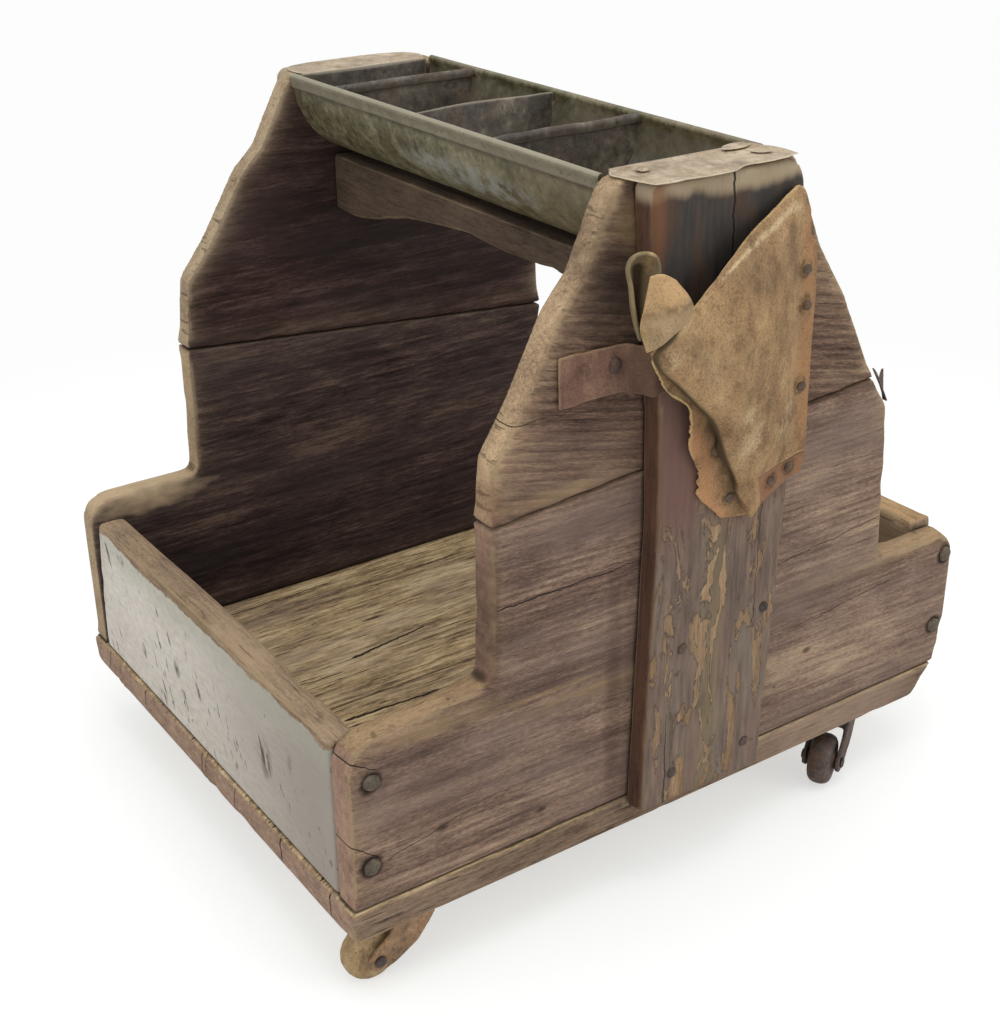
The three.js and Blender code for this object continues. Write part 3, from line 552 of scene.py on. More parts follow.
# %% [markdown]
# ## The side panels
#
# Each side is two wide boards, a low one that is cut away for the wings and a narrower one above it. The near boards
# are sun-bleached brown; the far ones show their sheltered inner face, which is almost black-brown and greasy. The
# narrow faces, where hands and tools rub, are bare pale wood on all of them.

# %% Finishes of the near side boards
GREASY = (-0.175, "#2a1f1b", "#41322b", "#56443a", "#745f4e")


def nail_rings(start):
    """A dark stain round each nail whose name starts so."""
    boxes = [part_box(name) for name in frame["nodes"] if name.startswith(start)]
    return [(((low.x + high.x) / 2, (low.z + high.z) / 2), mm(10, 10), 2.2) for low, high in boxes]


near_lower_wood = old_wood(
    "near_lower_wood", SIDE_GRAIN, ("#47372f", "#6f584c", "#907766", "#b59c80"), pith=mm(150, -120), spacing=0.0042,
    tilt=0.02, weather="#7b675f", ends=("#7a5f52", "#a88873"), back=GREASY, bands=1.25, rubbed=0.5, tears=0.5,
    soaked=0.2, fibres=0.65,
    splits=[(mm(-249, 178), mm(-229, 168), 0.0012, 0.0006), (mm(-249, 121), mm(-228, 106), 0.0012, 0.0006),
            (mm(-226, 103), mm(-146, 119), 0.0007, 0.0003), (mm(-147, 243.5), mm(-41, 244.5), 0.0012, 0.0006),
            (mm(60, 205), mm(168, 214), 0.0006, 0.0005), (mm(70, 150), mm(190, 160), 0.0004, 0.0005)],
    stains=[(mm(-187, 109.5), mm(7, 3), 1.0), (mm(-115, 92), mm(6, 3), 1.0), (mm(109, 129.5), mm(6, 3.5), 0.9),
            (mm(80.5, 110), mm(2, 2), 1.0), (mm(-230, 162), mm(16, 14), 0.35), (mm(-233, 103), mm(14, 12), 0.35),
            (mm(-125, 95), mm(26, 5), 0.3), (mm(-149, 235), mm(8, 85), 0.8, "#4f392e"),
            (mm(-190, 182), mm(60, 9), 0.6, "#a68c68"), (mm(-40, 165), mm(140, 12), 0.35, "#a08664"),
            (mm(-118, 176), mm(70, 3), 0.45, "#a88b64"), (mm(-70, 167), mm(60, 2.4), 0.4, "#a88b64"),
            # The dark band at -60 mm, next to the batten, is partly dirt and partly painted shade.
            (mm(-60, 150), mm(9, 120), 0.6, "#47322c"), (mm(150, 180), mm(110, 9), 0.4, "#a68f72"),
            (mm(-190, 130), mm(50, 40), 0.3, "#5c463b"), *nail_rings("end_nail_near")],
)
near_upper_wood = old_wood(
    "near_upper_wood", SIDE_GRAIN, ("#35261f", "#604a3e", "#7d6353", "#a1876a"), pith=mm(520, -60), spacing=0.005,
    tilt=0.22, weather="#69554c", soaked=0.4, rings=0.14, edges=("#876e57", "#c8ab87"), tears=0.55, back=GREASY,
    splits=[(mm(-148, 352), mm(-110, 356), 0.0008, 0.0003)],
    rubbed=0.9,
    # The dark patch at -66 mm, next to the batten, is partly dirt and partly painted shade.
    stains=[(mm(-66, 420), mm(34, 75), 0.85), (mm(-148, 308), mm(12, 28), 0.5, "#6b4a37"),
            (mm(-100, 305), mm(60, 7), 0.5, "#a28763"), (mm(-42, 455), mm(30, 26), 0.6, "#b0946c")],
)
print("near side:", near_lower_wood.name, near_upper_wood.name)

# %% Finishes of the far side boards
BLEACHED = (0.205, "#44352d", "#6a554a", "#897062", "#ac937a")

far_lower_wood = old_wood(
    "far_lower_wood", SIDE_GRAIN, ("#1d1514", "#3a2c29", "#4a3a36", "#705c50"), pith=mm(190, 320), spacing=0.0045,
    weather="#3f3433", rim="#94806a", edges=("#8a745d", "#bba381"), soak="#1c1412", checks=0.4, fibres=1.3, rubbed=0.25,
    stains=[(mm(-205, 184), mm(66, 15), 1.0, "#c2aa8b")], back=BLEACHED,
)
far_upper_wood = old_wood(
    "far_upper_wood", SIDE_GRAIN, ("#201615", "#36251f", "#46312e", "#645047"), pith=mm(380, 260), spacing=0.011,
    weather="#443534", soaked=0.3, rim="#94806a", rings=0.2, edges=("#826c56", "#bda889"), soak="#1c1412",
    checks=0.35, fibres=1.2, rubbed=0.6, tears=0.55, back=BLEACHED,
    stains=[(mm(60, 370), mm(190, 120), 1.0, "#29221f")],
)
print("far side:", far_lower_wood.name, far_upper_wood.name)

# %% Carve the side boards
carve("near_lower_board", near_lower_wood, SIDE_GRAIN, seed=11)
carve("near_upper_board", near_upper_wood, SIDE_GRAIN, seed=12)
carve("far_lower_board", far_lower_wood, SIDE_GRAIN, seed=13)
carve("far_upper_board", far_upper_wood, SIDE_GRAIN, seed=14)

# %% [markdown]
# ## The floor and the end boards
#
# Floor boards take the most knocks. Their top is scoured to long open cracks, and their ends stick out at the left,
# where the end grain is dry, pinkish and checked from top to bottom.

# %% Finishes of the floor boards
FLOOR = dict(
    tones=("#504030", "#a48b67", "#c7ab81", "#e9d3ab"), weather="#a18b79", soaked=0.7, bands=0.9, relief=1.0,
    checks=1.0, fibres=1.5, edges=("#56443a", "#866e5e"), ends=("#7a6152", "#a88b77"),
)
floor_near_wood = old_wood(
    "floor_near_wood", FLOOR_GRAIN, pith=mm(-60, -140), **FLOOR,
    stains=[(mm(160, -188), mm(110, 7), 0.7, "#a28a78"), (mm(-130, -120), mm(100, 45), 0.4, "#dcc598")],
    splits=[(mm(-153, -3), mm(-48, -8), 0.003, 0.0012), (mm(-250, -82), mm(-190, -80), 0.0016, 0.0004),
            (mm(-250, -145), mm(-200, -142), 0.0016, 0.0004)],
    end_splits=[(mm(40, -97), mm(80, -94), 0.0008, 0.0022), (mm(40, -160), mm(80, -158), 0.0008, 0.0018),
                (mm(40, -28), mm(80, -30), 0.0004, 0.0010)],
)
floor_middle_wood = old_wood(
    "floor_middle_wood", FLOOR_GRAIN, pith=mm(120, -100), **FLOOR,
    splits=[(mm(-106, 67), mm(-36, 77), 0.003, 0.0015), (mm(-250, 39), mm(-215, 38), 0.0014, 0.0004),
            (mm(-215, 60), mm(-120, 54), 0.0008, 0.0010)],
    end_splits=[(mm(40, 22), mm(80, 20), 0.0006, 0.0012), (mm(40, 118), mm(80, 116), 0.0006, 0.0016)],
)
floor_far_wood = old_wood(
    "floor_far_wood", FLOOR_GRAIN, pith=mm(240, -90), **FLOOR,
    splits=[(mm(-200, 178), mm(-60, 182), 0.0008, 0.0012)],
    end_splits=[(mm(40, 185), mm(80, 183), 0.0006, 0.0016)],
)
print("floor:", floor_near_wood.name, floor_middle_wood.name, floor_far_wood.name)

# %% Carve the floor boards
carve("floor_board_near", floor_near_wood, FLOOR_GRAIN, seed=21)
carve("floor_board_middle", floor_middle_wood, FLOOR_GRAIN, seed=22)
carve("floor_board_far", floor_far_wood, FLOOR_GRAIN, seed=23)

# %% [markdown]
# The left end board was once painted pale grey on its outer face. The paint has rubbed off the rounded top, where
# hands and tools went in, and its lower border there is ragged. The paint is a second layer over the wood finish,
# and a mask says where it is left: on faces that look outwards, below a wavy line, and not in the scratches.

# %% The painted finish
END_TONES = ("#4f3e31", "#7e6752", "#967e68", "#b09a83")
END_RIM = ("#6c5847", "#a1896f")
# Where larger chips of the paint are gone: along the board, up, half width and half height, in mm.
CHIPS = [(-77, 122, 11, 17), (113, 107, 5, 7), (54, 123, 6, 10), (80, 154, 3, 5), (-112, 140, 4, 12), (140, 168, 7, 5)]


def painted_end(name):
    """Pale paint over bare wood, with many small nicks and a few larger chips."""
    finish = Finish(name)
    tone, rough, height = wood_layers(
        finish, END_GRAIN, END_TONES, pith=mm(120, -300), weather="#8a775b", edges=END_RIM, ends=END_RIM)
    x, y, z = finish.place()
    edge = finish.noise(x, y * 16, z * 16, detail=5, rough=0.7)
    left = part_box("left_end_board")[0].x
    outer = (x - left).step(0.0042, 0.0028)
    below = (z + (edge - 0.5) * 0.022).step(0.1765, 0.1745)
    leaning = y - z * 0.35
    many = finish.noise(x, y * 6, z * 9, detail=2).step(0.35, 0.7)
    nick = finish.noise(x, leaning * 260, z * 60, detail=3, rough=0.65)
    for wide, tall, size in ((260, 60, 0.0), (120, 34, 0.02)):
        dash = finish.noise(x, leaning * wide, z * tall, detail=3, rough=0.65)
        nick = nick.math("MAXIMUM", dash - size)
    nick = (nick + many * 0.08).step(0.66, 0.70)
    torn = finish.noise(x, leaning * 240, z * 70, detail=4, rough=0.7)
    chips = None
    for cy, cz, wide, tall in CHIPS:
        spot = ((y - cy / 1000) / (wide / 1000)) ** 2 + ((z - cz / 1000) / (tall / 1000)) ** 2
        spot = (1 - spot).clamp() * torn.step(0.4, 0.62)
        chips = spot if chips is None else chips.math("MAXIMUM", spot)
    cloud = finish.noise(x, y * 7, z * 16, detail=5, rough=0.6)
    fine = finish.noise(x, y * 120, z * 320, detail=4, rough=0.6)
    dull = ((y * -0.9) + (cloud - 0.5) * 0.2 - 0.01).step(-0.08, 0.13)
    paint = finish.ramp(fine * 0.4 + cloud * 0.6, (0.3, "#b0a69b"), (0.5, "#cbc2b8"), (0.68, "#ddd6cd"))
    paint = finish.mix(dull * 0.85, paint, "#8f857b")
    greenish = (z + (edge - 0.5) * 0.03).step(0.150, 0.172)
    paint = finish.mix(greenish * 0.45, paint, "#a3a493")
    paint = finish.mix((nick * 0.85 + chips * 1.2).clamp() * 0.9, paint, "#3b3027")
    tone = finish.mix(outer * below, tone, paint)
    height = height * (1 - outer * below * 0.75) + outer * below * (0.6 - nick * 0.6 - chips * 0.6)
    return finish.close(tone, rough - below * 0.12, height, depth=0.0005, strength=0.6, Specular_IOR_Level=0.3)


# %% Finish and carve the end boards
right_end_wood = old_wood(
    "right_end_wood", END_GRAIN, END_TONES, pith=mm(120, -300), weather="#8a775b", edges=("#8d7050", "#c09f74"),
    ends=END_RIM)
carve("left_end_board", painted_end("left_end_paint"), END_GRAIN, seed=31, dents=1.6)
carve("right_end_board", right_end_wood, END_GRAIN, seed=32, dents=1.6)

# %% [markdown]
# ## Battens and rail
#
# The near batten has two coats. High up it is a blue-black paint that has worn through along the top edge. Lower
# down only a thin grey-mauve coat is left, which has flaked off in long slivers and shows orange-tan wood. Its left
# side is bare and red-brown.

# %% Two coats of old paint
def batten_finish(name, node, stripe):
    """The layers of a painted batten. The stripe is where, along X, the thin lower coat has flaked most."""
    finish = Finish(name)
    tones = ("#5b4433", "#866a4e", "#9a7d5f", "#b09776")
    tone, rough, height = wood_layers(
        finish, POST_GRAIN, tones, pith=mm(20, -300), weather="#8d7862", rim="#7f6146", edges=("#381f18", "#4f2f24"),
        ends=("#6f5a46", "#97805f"))
    x, y, z = finish.place()
    low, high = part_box(node)
    wander = finish.noise(x * 30, y, z * 5, detail=3) - 0.5
    up = (z + wander * 0.12).step(0.345, 0.385)
    stripe_here = (1 - abs(x - stripe + wander * 0.01) / 0.012).clamp() * z.step(0.30, 0.24)
    flake = finish.noise(x * 72, y * 40, z * 21, detail=5, rough=0.62, twist=0.6) + stripe_here * 0.09
    low_down = (0.275 - z).step(-0.02, 0.02)
    gone = flake.step(0.552, 0.562) * low_down
    outline = flake.step(0.525, 0.55) * flake.step(0.572, 0.558) * low_down
    long_streak = finish.noise(x * 260, y * 90, z * 26, detail=5, rough=0.68)
    patch = finish.noise(x * 40, y * 20, z * 11, detail=4, rough=0.6)
    thin = finish.ramp(long_streak * 0.6 + patch * 0.4, (0.36, "#5a4c44"), (0.5, "#766458"), (0.64, "#8f7c69"))
    thin = finish.mix(patch.step(0.45, 0.62) * 0.35, thin, "#6b655e")
    rosy = finish.noise(x * 75, y * 20, z * 8 + 3, detail=4, rough=0.6).step(0.48, 0.62)
    thin = finish.mix(rosy * 0.4, thin, "#83665a")
    thin = finish.mix(stripe_here.clamp() * 0.6, thin, "#7e7052")
    reddish = (z + wander * 0.1).step(0.24, 0.30)
    thin = finish.mix(reddish * 0.75, thin, "#6e4d46")
    dark = finish.ramp(long_streak * 0.35 + patch * 0.65, (0.35, "#2c2a2a"), (0.5, "#403a36"), (0.64, "#5d4a3c"))
    dark = finish.mix(patch.step(0.5, 0.6) * 0.6, dark, "#4d372c")
    coat = finish.mix(up, thin, dark)
    edge_worn = (finish.mark("worn") * (0.25 + flake)).step(0.6, 0.8)
    near_top = (z - high.z + 0.013 + wander * 0.03).step(0.0, 0.008)
    bare = (gone + edge_worn * 0.8 + near_top * 0.9).clamp()
    front = 1 - finish.mark("edge")
    tone = finish.mix((1 - bare) * front, tone, finish.mix(outline * 0.6, coat, "#3a302a"))
    tone = finish.mix(near_top * (0.5 + patch * 0.5), tone, "#ab9a80")
    dark_arris = (low.x + 0.007 - x + wander * 0.02).step(-0.002, 0.004) * z.step(0.43, 0.40)
    tone = finish.mix(dark_arris * (1 - gone) * 0.6, tone, "#452b22")
    left_edge = (low.x + 0.014 - x + wander * 0.03).step(-0.003, 0.008) * z.step(0.40, 0.43)
    tone = finish.mix(left_edge * front * 0.7, tone, "#7d5032")
    return finish, tone, rough, height, bare, up


# %% Finish and carve the battens
def near_batten_paint():
    """The near batten's coats, with the three long splits that show in them."""
    finish, tone, rough, height, bare, up = batten_finish("near_batten_paint", "near_batten", 0.005)
    x, y, z = finish.place()
    splits = [(mm(372, 6), mm(481, 3), 0.0010, 0.0018), (mm(68, -29), mm(140, -30), 0.0012, 0.0003),
              (mm(180, 39), mm(330, 42), 0.0005, 0.0005)]
    mask = split_mask(finish, z, x, splits)
    tone = finish.mix(mask * 0.93, tone, "#0d0907")
    height = height * 0.5 - bare * 0.9 - mask * 3.5
    return finish.close(tone, rough - up * 0.15, height, depth=0.0005, strength=0.6, Specular_IOR_Level=0.3)


def far_batten_paint():
    finish, tone, rough, height, bare, up = batten_finish("far_batten_paint", "far_batten", -0.02)
    return finish.close(tone, rough - up * 0.15, height * 0.5 - bare * 0.9, depth=0.0005, strength=0.6)


carve("near_batten", near_batten_paint(), POST_GRAIN, seed=41, voxel=0.002)
carve("far_batten", far_batten_paint(), POST_GRAIN, seed=42, voxel=0.002)

# %% Rail
rail_wood = old_wood(
    "rail_wood", RAIL_GRAIN, ("#2c211a", "#4a3b31", "#5d4c40", "#786450"), pith=mm(30, 300), weather="#51443d",
    edges=("#3b2f27", "#5f4e40"),
)
carve("tray_rail", rail_wood, RAIL_GRAIN, seed=51, voxel=0.002)

# %% [markdown]
# ## Bent sheets
#
# The tray, its dividers, the flaps, the leather and the strap are all thin sheets. A sheet is easiest to shape as a
# grid of points on its middle surface. One helper then gives it two faces and an edge, and thins it towards the
# border, so that the edge catches the light as a cut or worn edge does.

# %% From a grid of points to a closed sheet
def spline(rows, shares):
    """Points on a smooth curve through the given rows, at shares from 0 to 1."""
    rows = np.asarray(rows, float)
    padded = np.concatenate([2 * rows[:1] - rows[1:2], rows, 2 * rows[-1:] - rows[-2:-1]])
    spot = np.clip(np.asarray(shares) * (len(rows) - 1), 0, len(rows) - 1 - 1e-9)
    first = spot.astype(int)
    t = (spot - first).reshape([-1] + [1] * (rows.ndim - 1))
    a, b, c, d = (padded[first + k] for k in range(4))
    return 0.5 * (2 * b + (c - a) * t + (2 * a - 5 * b + 4 * c - d) * t**2 + (3 * b - a - 3 * c + d) * t**3)


def grid_normals(grid):
    across, down = np.gradient(grid, axis=1), np.gradient(grid, axis=0)
    normals = np.cross(across, down)
    return normals / np.maximum(np.linalg.norm(normals, axis=2, keepdims=True), 1e-12)


def sheet_mesh(name, grid, thickness, taper=0.5):
    """A closed thin sheet about a grid of points. Its border is thinner than its middle."""
    rows, columns = grid.shape[:2]
    thick = np.full((rows, columns), 1.0) * thickness
    thick[[0, -1], :] *= taper
    thick[:, [0, -1]] *= taper
    half = grid_normals(grid) * thick[:, :, None] / 2
    points = np.concatenate([(grid + half).reshape(-1, 3), (grid - half).reshape(-1, 3)])
    index = np.arange(rows * columns).reshape(rows, columns)
    cells = np.stack([index[:-1, :-1], index[:-1, 1:], index[1:, 1:], index[1:, :-1]], axis=-1).reshape(-1, 4)
    ring = np.concatenate([index[0, :-1], index[:-1, -1], index[-1, :0:-1], index[:0:-1, 0]])
    after, back = np.roll(ring, -1), rows * columns
    sides = np.stack([after, ring, ring + back, after + back], axis=-1)
    faces = np.concatenate([cells, cells[:, ::-1] + back, sides])
    mesh = bpy.data.meshes.new(name)
    mesh.from_pydata(points.tolist(), [], faces.tolist())
    border = np.zeros((rows, columns))
    border[[0, -1], :] = 1
    border[:, [0, -1]] = 1
    write_mark(mesh, "worn", np.tile(border.ravel(), 2))
    write_mark(mesh, "grime", np.zeros(2 * rows * columns))
    return mesh


# %% [markdown]
# ## Tin and rust
#
# Old tinplate is not shiny. Handling and damp leave a dull olive skin with paler clouds where metal still shows, and
# brown rust that creeps along the bends. Rusty sheet iron is the same idea with the rust nearly everywhere.

# %% Tin finish
def tin_finish(name, tones, rust="#5d4536", rusted=0.5, inside=None, shine=0.35, near_brown=0, painted_sheen_at=None):
    """Dull metal sheet. Inside is the tone of painted shade under the rim, and the last the height of a painted sheen.
    """
    finish = Finish(name)
    x, y, z = finish.place()
    cloud = finish.noise(x * 26, y * 26, z * 26, detail=5, rough=0.66)
    grain = finish.noise(x * 240, y * 240, z * 240, detail=4, rough=0.7)
    mottle = finish.noise(x * 95, y * 95, z * 95, detail=4, rough=0.66)
    light = 0.5 + (cloud - 0.5) * 1.1 + (grain - 0.5) * 0.7 + (mottle - 0.5) * 0.9
    tone = finish.ramp(light, (0.15, tones[0]), (0.42, tones[1]), (0.62, tones[2]), (0.88, tones[3]))
    patch = finish.noise(x * 34, y * 24, z * 40, detail=6, rough=0.68).step(0.5, 0.64)
    tone = finish.mix(patch * rusted, tone, rust)
    if near_brown:
        tone = finish.mix((cloud - y * 4).step(0.55, 1.1) * near_brown, tone, "#77674c")
    if painted_sheen_at:
        # Painted sheen: a paler, bluish band of reflected light along the outside, at the height given.
        sheen_band = 1.2 - ((z - painted_sheen_at + (mottle - 0.5) * 0.03) / 0.011) ** 2 - ((y + 0.018) / 0.08) ** 2
        tone = finish.mix(sheen_band.clamp() * mottle.step(0.36, 0.6) * 0.55, tone, "#999d9b")
    tone = finish.mix(finish.mark("band") * (0.35 + mottle * 0.5), tone, "#837a68")
    speck = finish.noise(x * 420, y * 420, z * 420, detail=2).step(0.62, 0.72)
    tone = finish.mix(speck * 0.5, tone, "#1e1812")
    tone = finish.mix(finish.mark("worn") * 0.75, tone, tones[3])
    # Dirt and painted shade: marked places take the inside tone; on the trough this is painted shade.
    tone = finish.mix(finish.mark("grime") * 0.7, tone, inside or tones[0])
    rough = 0.52 + patch * 0.25 + (grain - 0.5) * 0.3
    height = (grain - 0.5) * 0.5 + patch * 0.25 - speck * 0.3
    metal = (1 - patch * 0.8) * shine
    return finish.close(tone, rough, height, metallic=metal, depth=0.0004, strength=0.6)


tray_tin = tin_finish("tray_tin", ("#35311e", "#5e573b", "#7d765a", "#a29a86"), rusted=0.35, shine=0.25,
                      inside="#5f594e", near_brown=0.5, painted_sheen_at=0.4475)
divider_tin = tin_finish("divider_tin", ("#3a342e", "#575048", "#70675c", "#9a8f7d"), rusted=0.4, shine=0.2)
rusty_sheet = tin_finish("rusty_sheet", ("#7b6b55", "#a38f76", "#bba88f", "#d2c2a9"), rust="#8b7357", rusted=0.35,
                         shine=0.1)
print("tin:", tray_tin.name, divider_tin.name, rusty_sheet.name)

# %% [markdown]
# ## The nail tray
#
# The trough is a half pipe whose long edges are turned over a wire. From outside, the turned edge shows as a flat
# band with a fine line under it. A cross-section through the sheet is drawn once, with that band and the wire, and
# swept along the box in many steps, so that dents can be pressed into it.

# %% Cross-section of the trough
TRAY_OUTER, TRAY_SHEET = 0.0585, 0.0009  # radius and thickness of the half pipe
WIRE, WIRE_DROP = 0.0026, 0.003  # radius of the turned edge, and how far its middle lies below the box's top
BAND = 0.0078  # height of the flat band below the middle of the wire
ARC = 26  # points on each face of half the pipe

tray_low, tray_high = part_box("tray_trough")
tray_x = (tray_low.x + tray_high.x) / 2
tray_top = tray_high.z - WIRE_DROP


def trough_section():
    """The closed outline of half the sheet, from the bottom up over the wire and down inside, as (out, up)."""
    turn = np.linspace(0, math.pi / 2 - math.asin(BAND / TRAY_OUTER), ARC)
    outer = [(TRAY_OUTER * math.sin(a), -TRAY_OUTER * math.cos(a)) for a in turn]
    band = [(TRAY_OUTER + 0.0006, -BAND + 0.0006), (TRAY_OUTER + 0.0010, -0.006), (TRAY_OUTER + 0.0012, -0.003)]
    centre = tray_high.x - tray_x - WIRE - 0.0002
    wire = [(centre + WIRE * math.cos(a), WIRE * math.sin(a)) for a in np.linspace(-0.5, math.pi + 0.3, 12)]
    within = TRAY_OUTER - TRAY_SHEET
    inner = [(within * math.sin(a), -within * math.cos(a)) for a in np.linspace(math.pi / 2 - 0.06, 0, ARC)]
    return outer + band + wire + inner


half = trough_section()
section = np.array([*half, *((-out, up) for out, up in half[-2:0:-1])])
print("cross-section:", len(section), "points")

# %% Sweep the section along the box
stations = np.linspace(tray_low.y, tray_high.y, 100)
ring = len(section)
points = np.stack([
    np.tile(section[:, 0], len(stations)), np.repeat(stations, ring), np.tile(section[:, 1], len(stations))
], axis=1)
radius = np.hypot(points[:, 0], points[:, 2])[:, None]
outwards = points * [1, 0, 1] / radius
dent = 0.0005 * soft_noise(points, (0.05, 0.06, 0.05), 61) - 0.0009 * np.clip(
    soft_noise(points, (0.024, 0.03, 0.024), 62) - 0.45, 0, 1)
points += outwards * dent[:, None] + [tray_x, 0, tray_top]
faces = [
    (k * ring + i, k * ring + (i + 1) % ring, (k + 1) * ring + (i + 1) % ring, (k + 1) * ring + i)
    for k in range(len(stations) - 1) for i in range(ring)
]
faces += [tuple(range(ring)), tuple(len(points) - 1 - i for i in range(ring))]
trough_mesh = bpy.data.meshes.new("trough")
trough_mesh.from_pydata(points.tolist(), [], faces)
print("trough:", len(points), "points at", len(stations), "stations")

# %% Marks on the trough
LEFT_WEAR, RIGHT_WEAR, TROUGH_SHADE = 1, 0.35, 0.75
# Painted shade: the line under the turned edge and the inside of the trough take a greyer, darker tone.
shade_under_rim = np.abs(points[:, 2] - (tray_top - BAND)) < 0.0006
inside = np.tile((np.arange(ring) > len(half) - ARC) & (np.arange(ring) < len(half) + ARC - 1), len(stations))
rim_wear = (np.abs(section[:, 1] - WIRE) < 0.0012) * np.where(section[:, 0] < 0, LEFT_WEAR, RIGHT_WEAR)
write_mark(trough_mesh, "worn", np.tile(rim_wear, len(stations)))
write_mark(trough_mesh, "band", np.tile(np.abs(section[:, 0]) > TRAY_OUTER + 0.0003, len(stations)))
write_mark(trough_mesh, "grime", shade_under_rim * TROUGH_SHADE + inside * TROUGH_SHADE)
show("nail_trough", trough_mesh, tray_tin, stands_for=["tray_trough"])
print("points under the turned edge:", int(shade_under_rim.sum()))

# %% [markdown]
# Three half discs divide the tray. Two have a hem rolled over their top edge. The middle one has no hem any more: it
# is bowed, and its right end has torn off the wall. Handling has kept the top edges paler than the rest.

# %% Dividers
HEM = [(-0.0022, -0.0052), (-0.0023, -0.0035), (-0.0024, -0.0018), (-0.0021, -0.0002), (-0.0012, 0.0005)]  # (out, up)


def divider(name, node, bow, hemmed, seed, torn=0.0):
    """A half disc across the trough. Bow is how far its top leans along the box, and torn what its right end lacks."""
    low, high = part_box(node)
    middle_y = low.y + 0.0011
    reach = TRAY_OUTER - TRAY_SHEET - 0.0009
    u = np.linspace(-1, 1, 70)[None, :]
    v = np.linspace(0, 1, 34)[:, None]
    right = 1 - torn * (0.75 + 0.5 * line_noise(v[:, 0], 0.09, seed))
    across = np.where(u > 0, u * right[:, None], u) * (reach - 0.0002)
    top = high.z - tray_top + 0.0046
    bottom = -np.sqrt(reach**2 - across**2)
    up = top + (bottom - top) * v + 0.0004 * line_noise(across[0], 0.015, seed)
    lean = bow * (1 - u**2) * (1 - v) + 0.0006 * np.sin(u * 4 + seed) * (1 - v)
    grid = np.stack([tray_x + across, middle_y + lean, tray_top + up], axis=2)
    if hemmed:
        grid = np.concatenate([np.stack([grid[0] + [0, out, rise] for out, rise in HEM]), grid])
    mesh = sheet_mesh(name, grid, TRAY_SHEET)
    rim = np.zeros(grid.shape[:2])
    rim[: len(HEM) + 2 if hemmed else 2] = 1
    write_mark(mesh, "worn", np.tile(rim.ravel(), 2))
    return show(name, mesh, divider_tin, stands_for=[node])


divider("divider_sheet_far", "tray_divider_far", 0, True, 1)
divider("divider_sheet_middle", "tray_divider_middle", 0.006, False, 2, torn=0.04)
divider("divider_sheet_near", "tray_divider_near", 0, True, 3)

# %% [markdown]
# The ends of the tray are turned over the panels as flaps and nailed down. The near flap is a sheet of rust. Its
# front edge is ragged, its right side has sprung up a little, and two torn tongues of tin lie on it.

# %% Flaps over the panels
def ragged(count, size, seed):
    """Random numbers along an edge, from -1 to 1, with small tears on larger ones."""
    line = np.linspace(0, 1, count)
    return 0.7 * line_noise(line, size, seed) + 0.3 * line_noise(line, size / 4, seed + 1)


def mm_rows(rows):
    """Rows of millimetres, as an array of metres."""
    return np.asarray(rows, float) / 1000


def flap(name, node, outline, out, lift, seed):
    """A flap on a panel's top. The outline has its left side, its right side and how far it reaches, in mm."""
    low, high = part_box(node)
    start = high.y - 0.0004 if out < 0 else low.y + 0.0004
    left, right, front = outline
    u, v = np.linspace(0, 1, 90), np.linspace(0, 1, 40)
    left_x, right_x = spline(mm_rows(left), v)[:, None], spline(mm_rows(right), v)[:, None]
    x = left_x + (right_x - left_x) * u[None, :] + 0.0004 * ragged(40, 0.1, seed + 5)[:, None]
    reach = spline(mm_rows(front), u) + 0.0007 * ragged(90, 0.06, seed)
    y = start + out * reach[None, :] * v[:, None]
    flat = np.column_stack([x.ravel(), y.ravel(), np.zeros(x.size)])
    z = high.z - 0.0012 + 0.0003 * soft_noise(flat, (0.02, 0.014, 1), seed).reshape(x.shape)
    z = z + lift * np.clip((x - 0.012) / 0.04, 0, 1) * v[:, None] ** 2
    grid = np.stack([x + 0 * y, y, z], axis=2)
    mesh = sheet_mesh(name, grid if out < 0 else grid[::-1], TRAY_SHEET)
    return show(name, mesh, rusty_sheet, stands_for=[node])


flap("flap_sheet_near", "tray_end_near",
     ([-53.5, -61.5, -60.5, -58, -55], [49, 51.5, 53.5, 53, 50.5], [41, 43, 42.5, 43.5, 44, 38.5, 40, 40.5, 37.5]),
     -1, 0.0012, 81)
flap("flap_sheet_far", "tray_end_far",
     ([-50.5, -53, -52.5, -47], [49.5, 55, 56.5, 50.5], [31, 35.5, 37, 37.5, 37, 37.5, 36.5, 31]), 1, 0.0, 85)


# %% Discs that close the trough
def tray_end_disc(name, node, out):
    """The half disc that closes the trough under the flap."""
    low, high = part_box(node)
    y = low.y if out > 0 else high.y
    reach = TRAY_OUTER - TRAY_SHEET - 0.0005
    u, v = np.linspace(-1, 1, 50)[None, :], np.linspace(0, 1, 24)[:, None]
    across = u * (reach - 0.0045) + 0 * v
    bottom, top = -np.sqrt(reach**2 - across**2), high.z - tray_top - 0.0012
    grid = np.stack([tray_x + across, y + 0 * across, tray_top + top + (bottom - top) * v], axis=2)
    flat = grid.reshape(-1, 3)
    grid[:, :, 1] += 0.0005 * soft_noise(flat, (0.03, 0.03, 0.03), 71).reshape(across.shape) - out * 0.0005
    return show(name, sheet_mesh(name, grid, TRAY_SHEET), divider_tin)


tray_end_disc("tray_disc_near", "tray_end_near", -1)
tray_end_disc("tray_disc_far", "tray_end_far", 1)
print("discs:", round(2000 * (TRAY_OUTER - TRAY_SHEET)), "mm across")


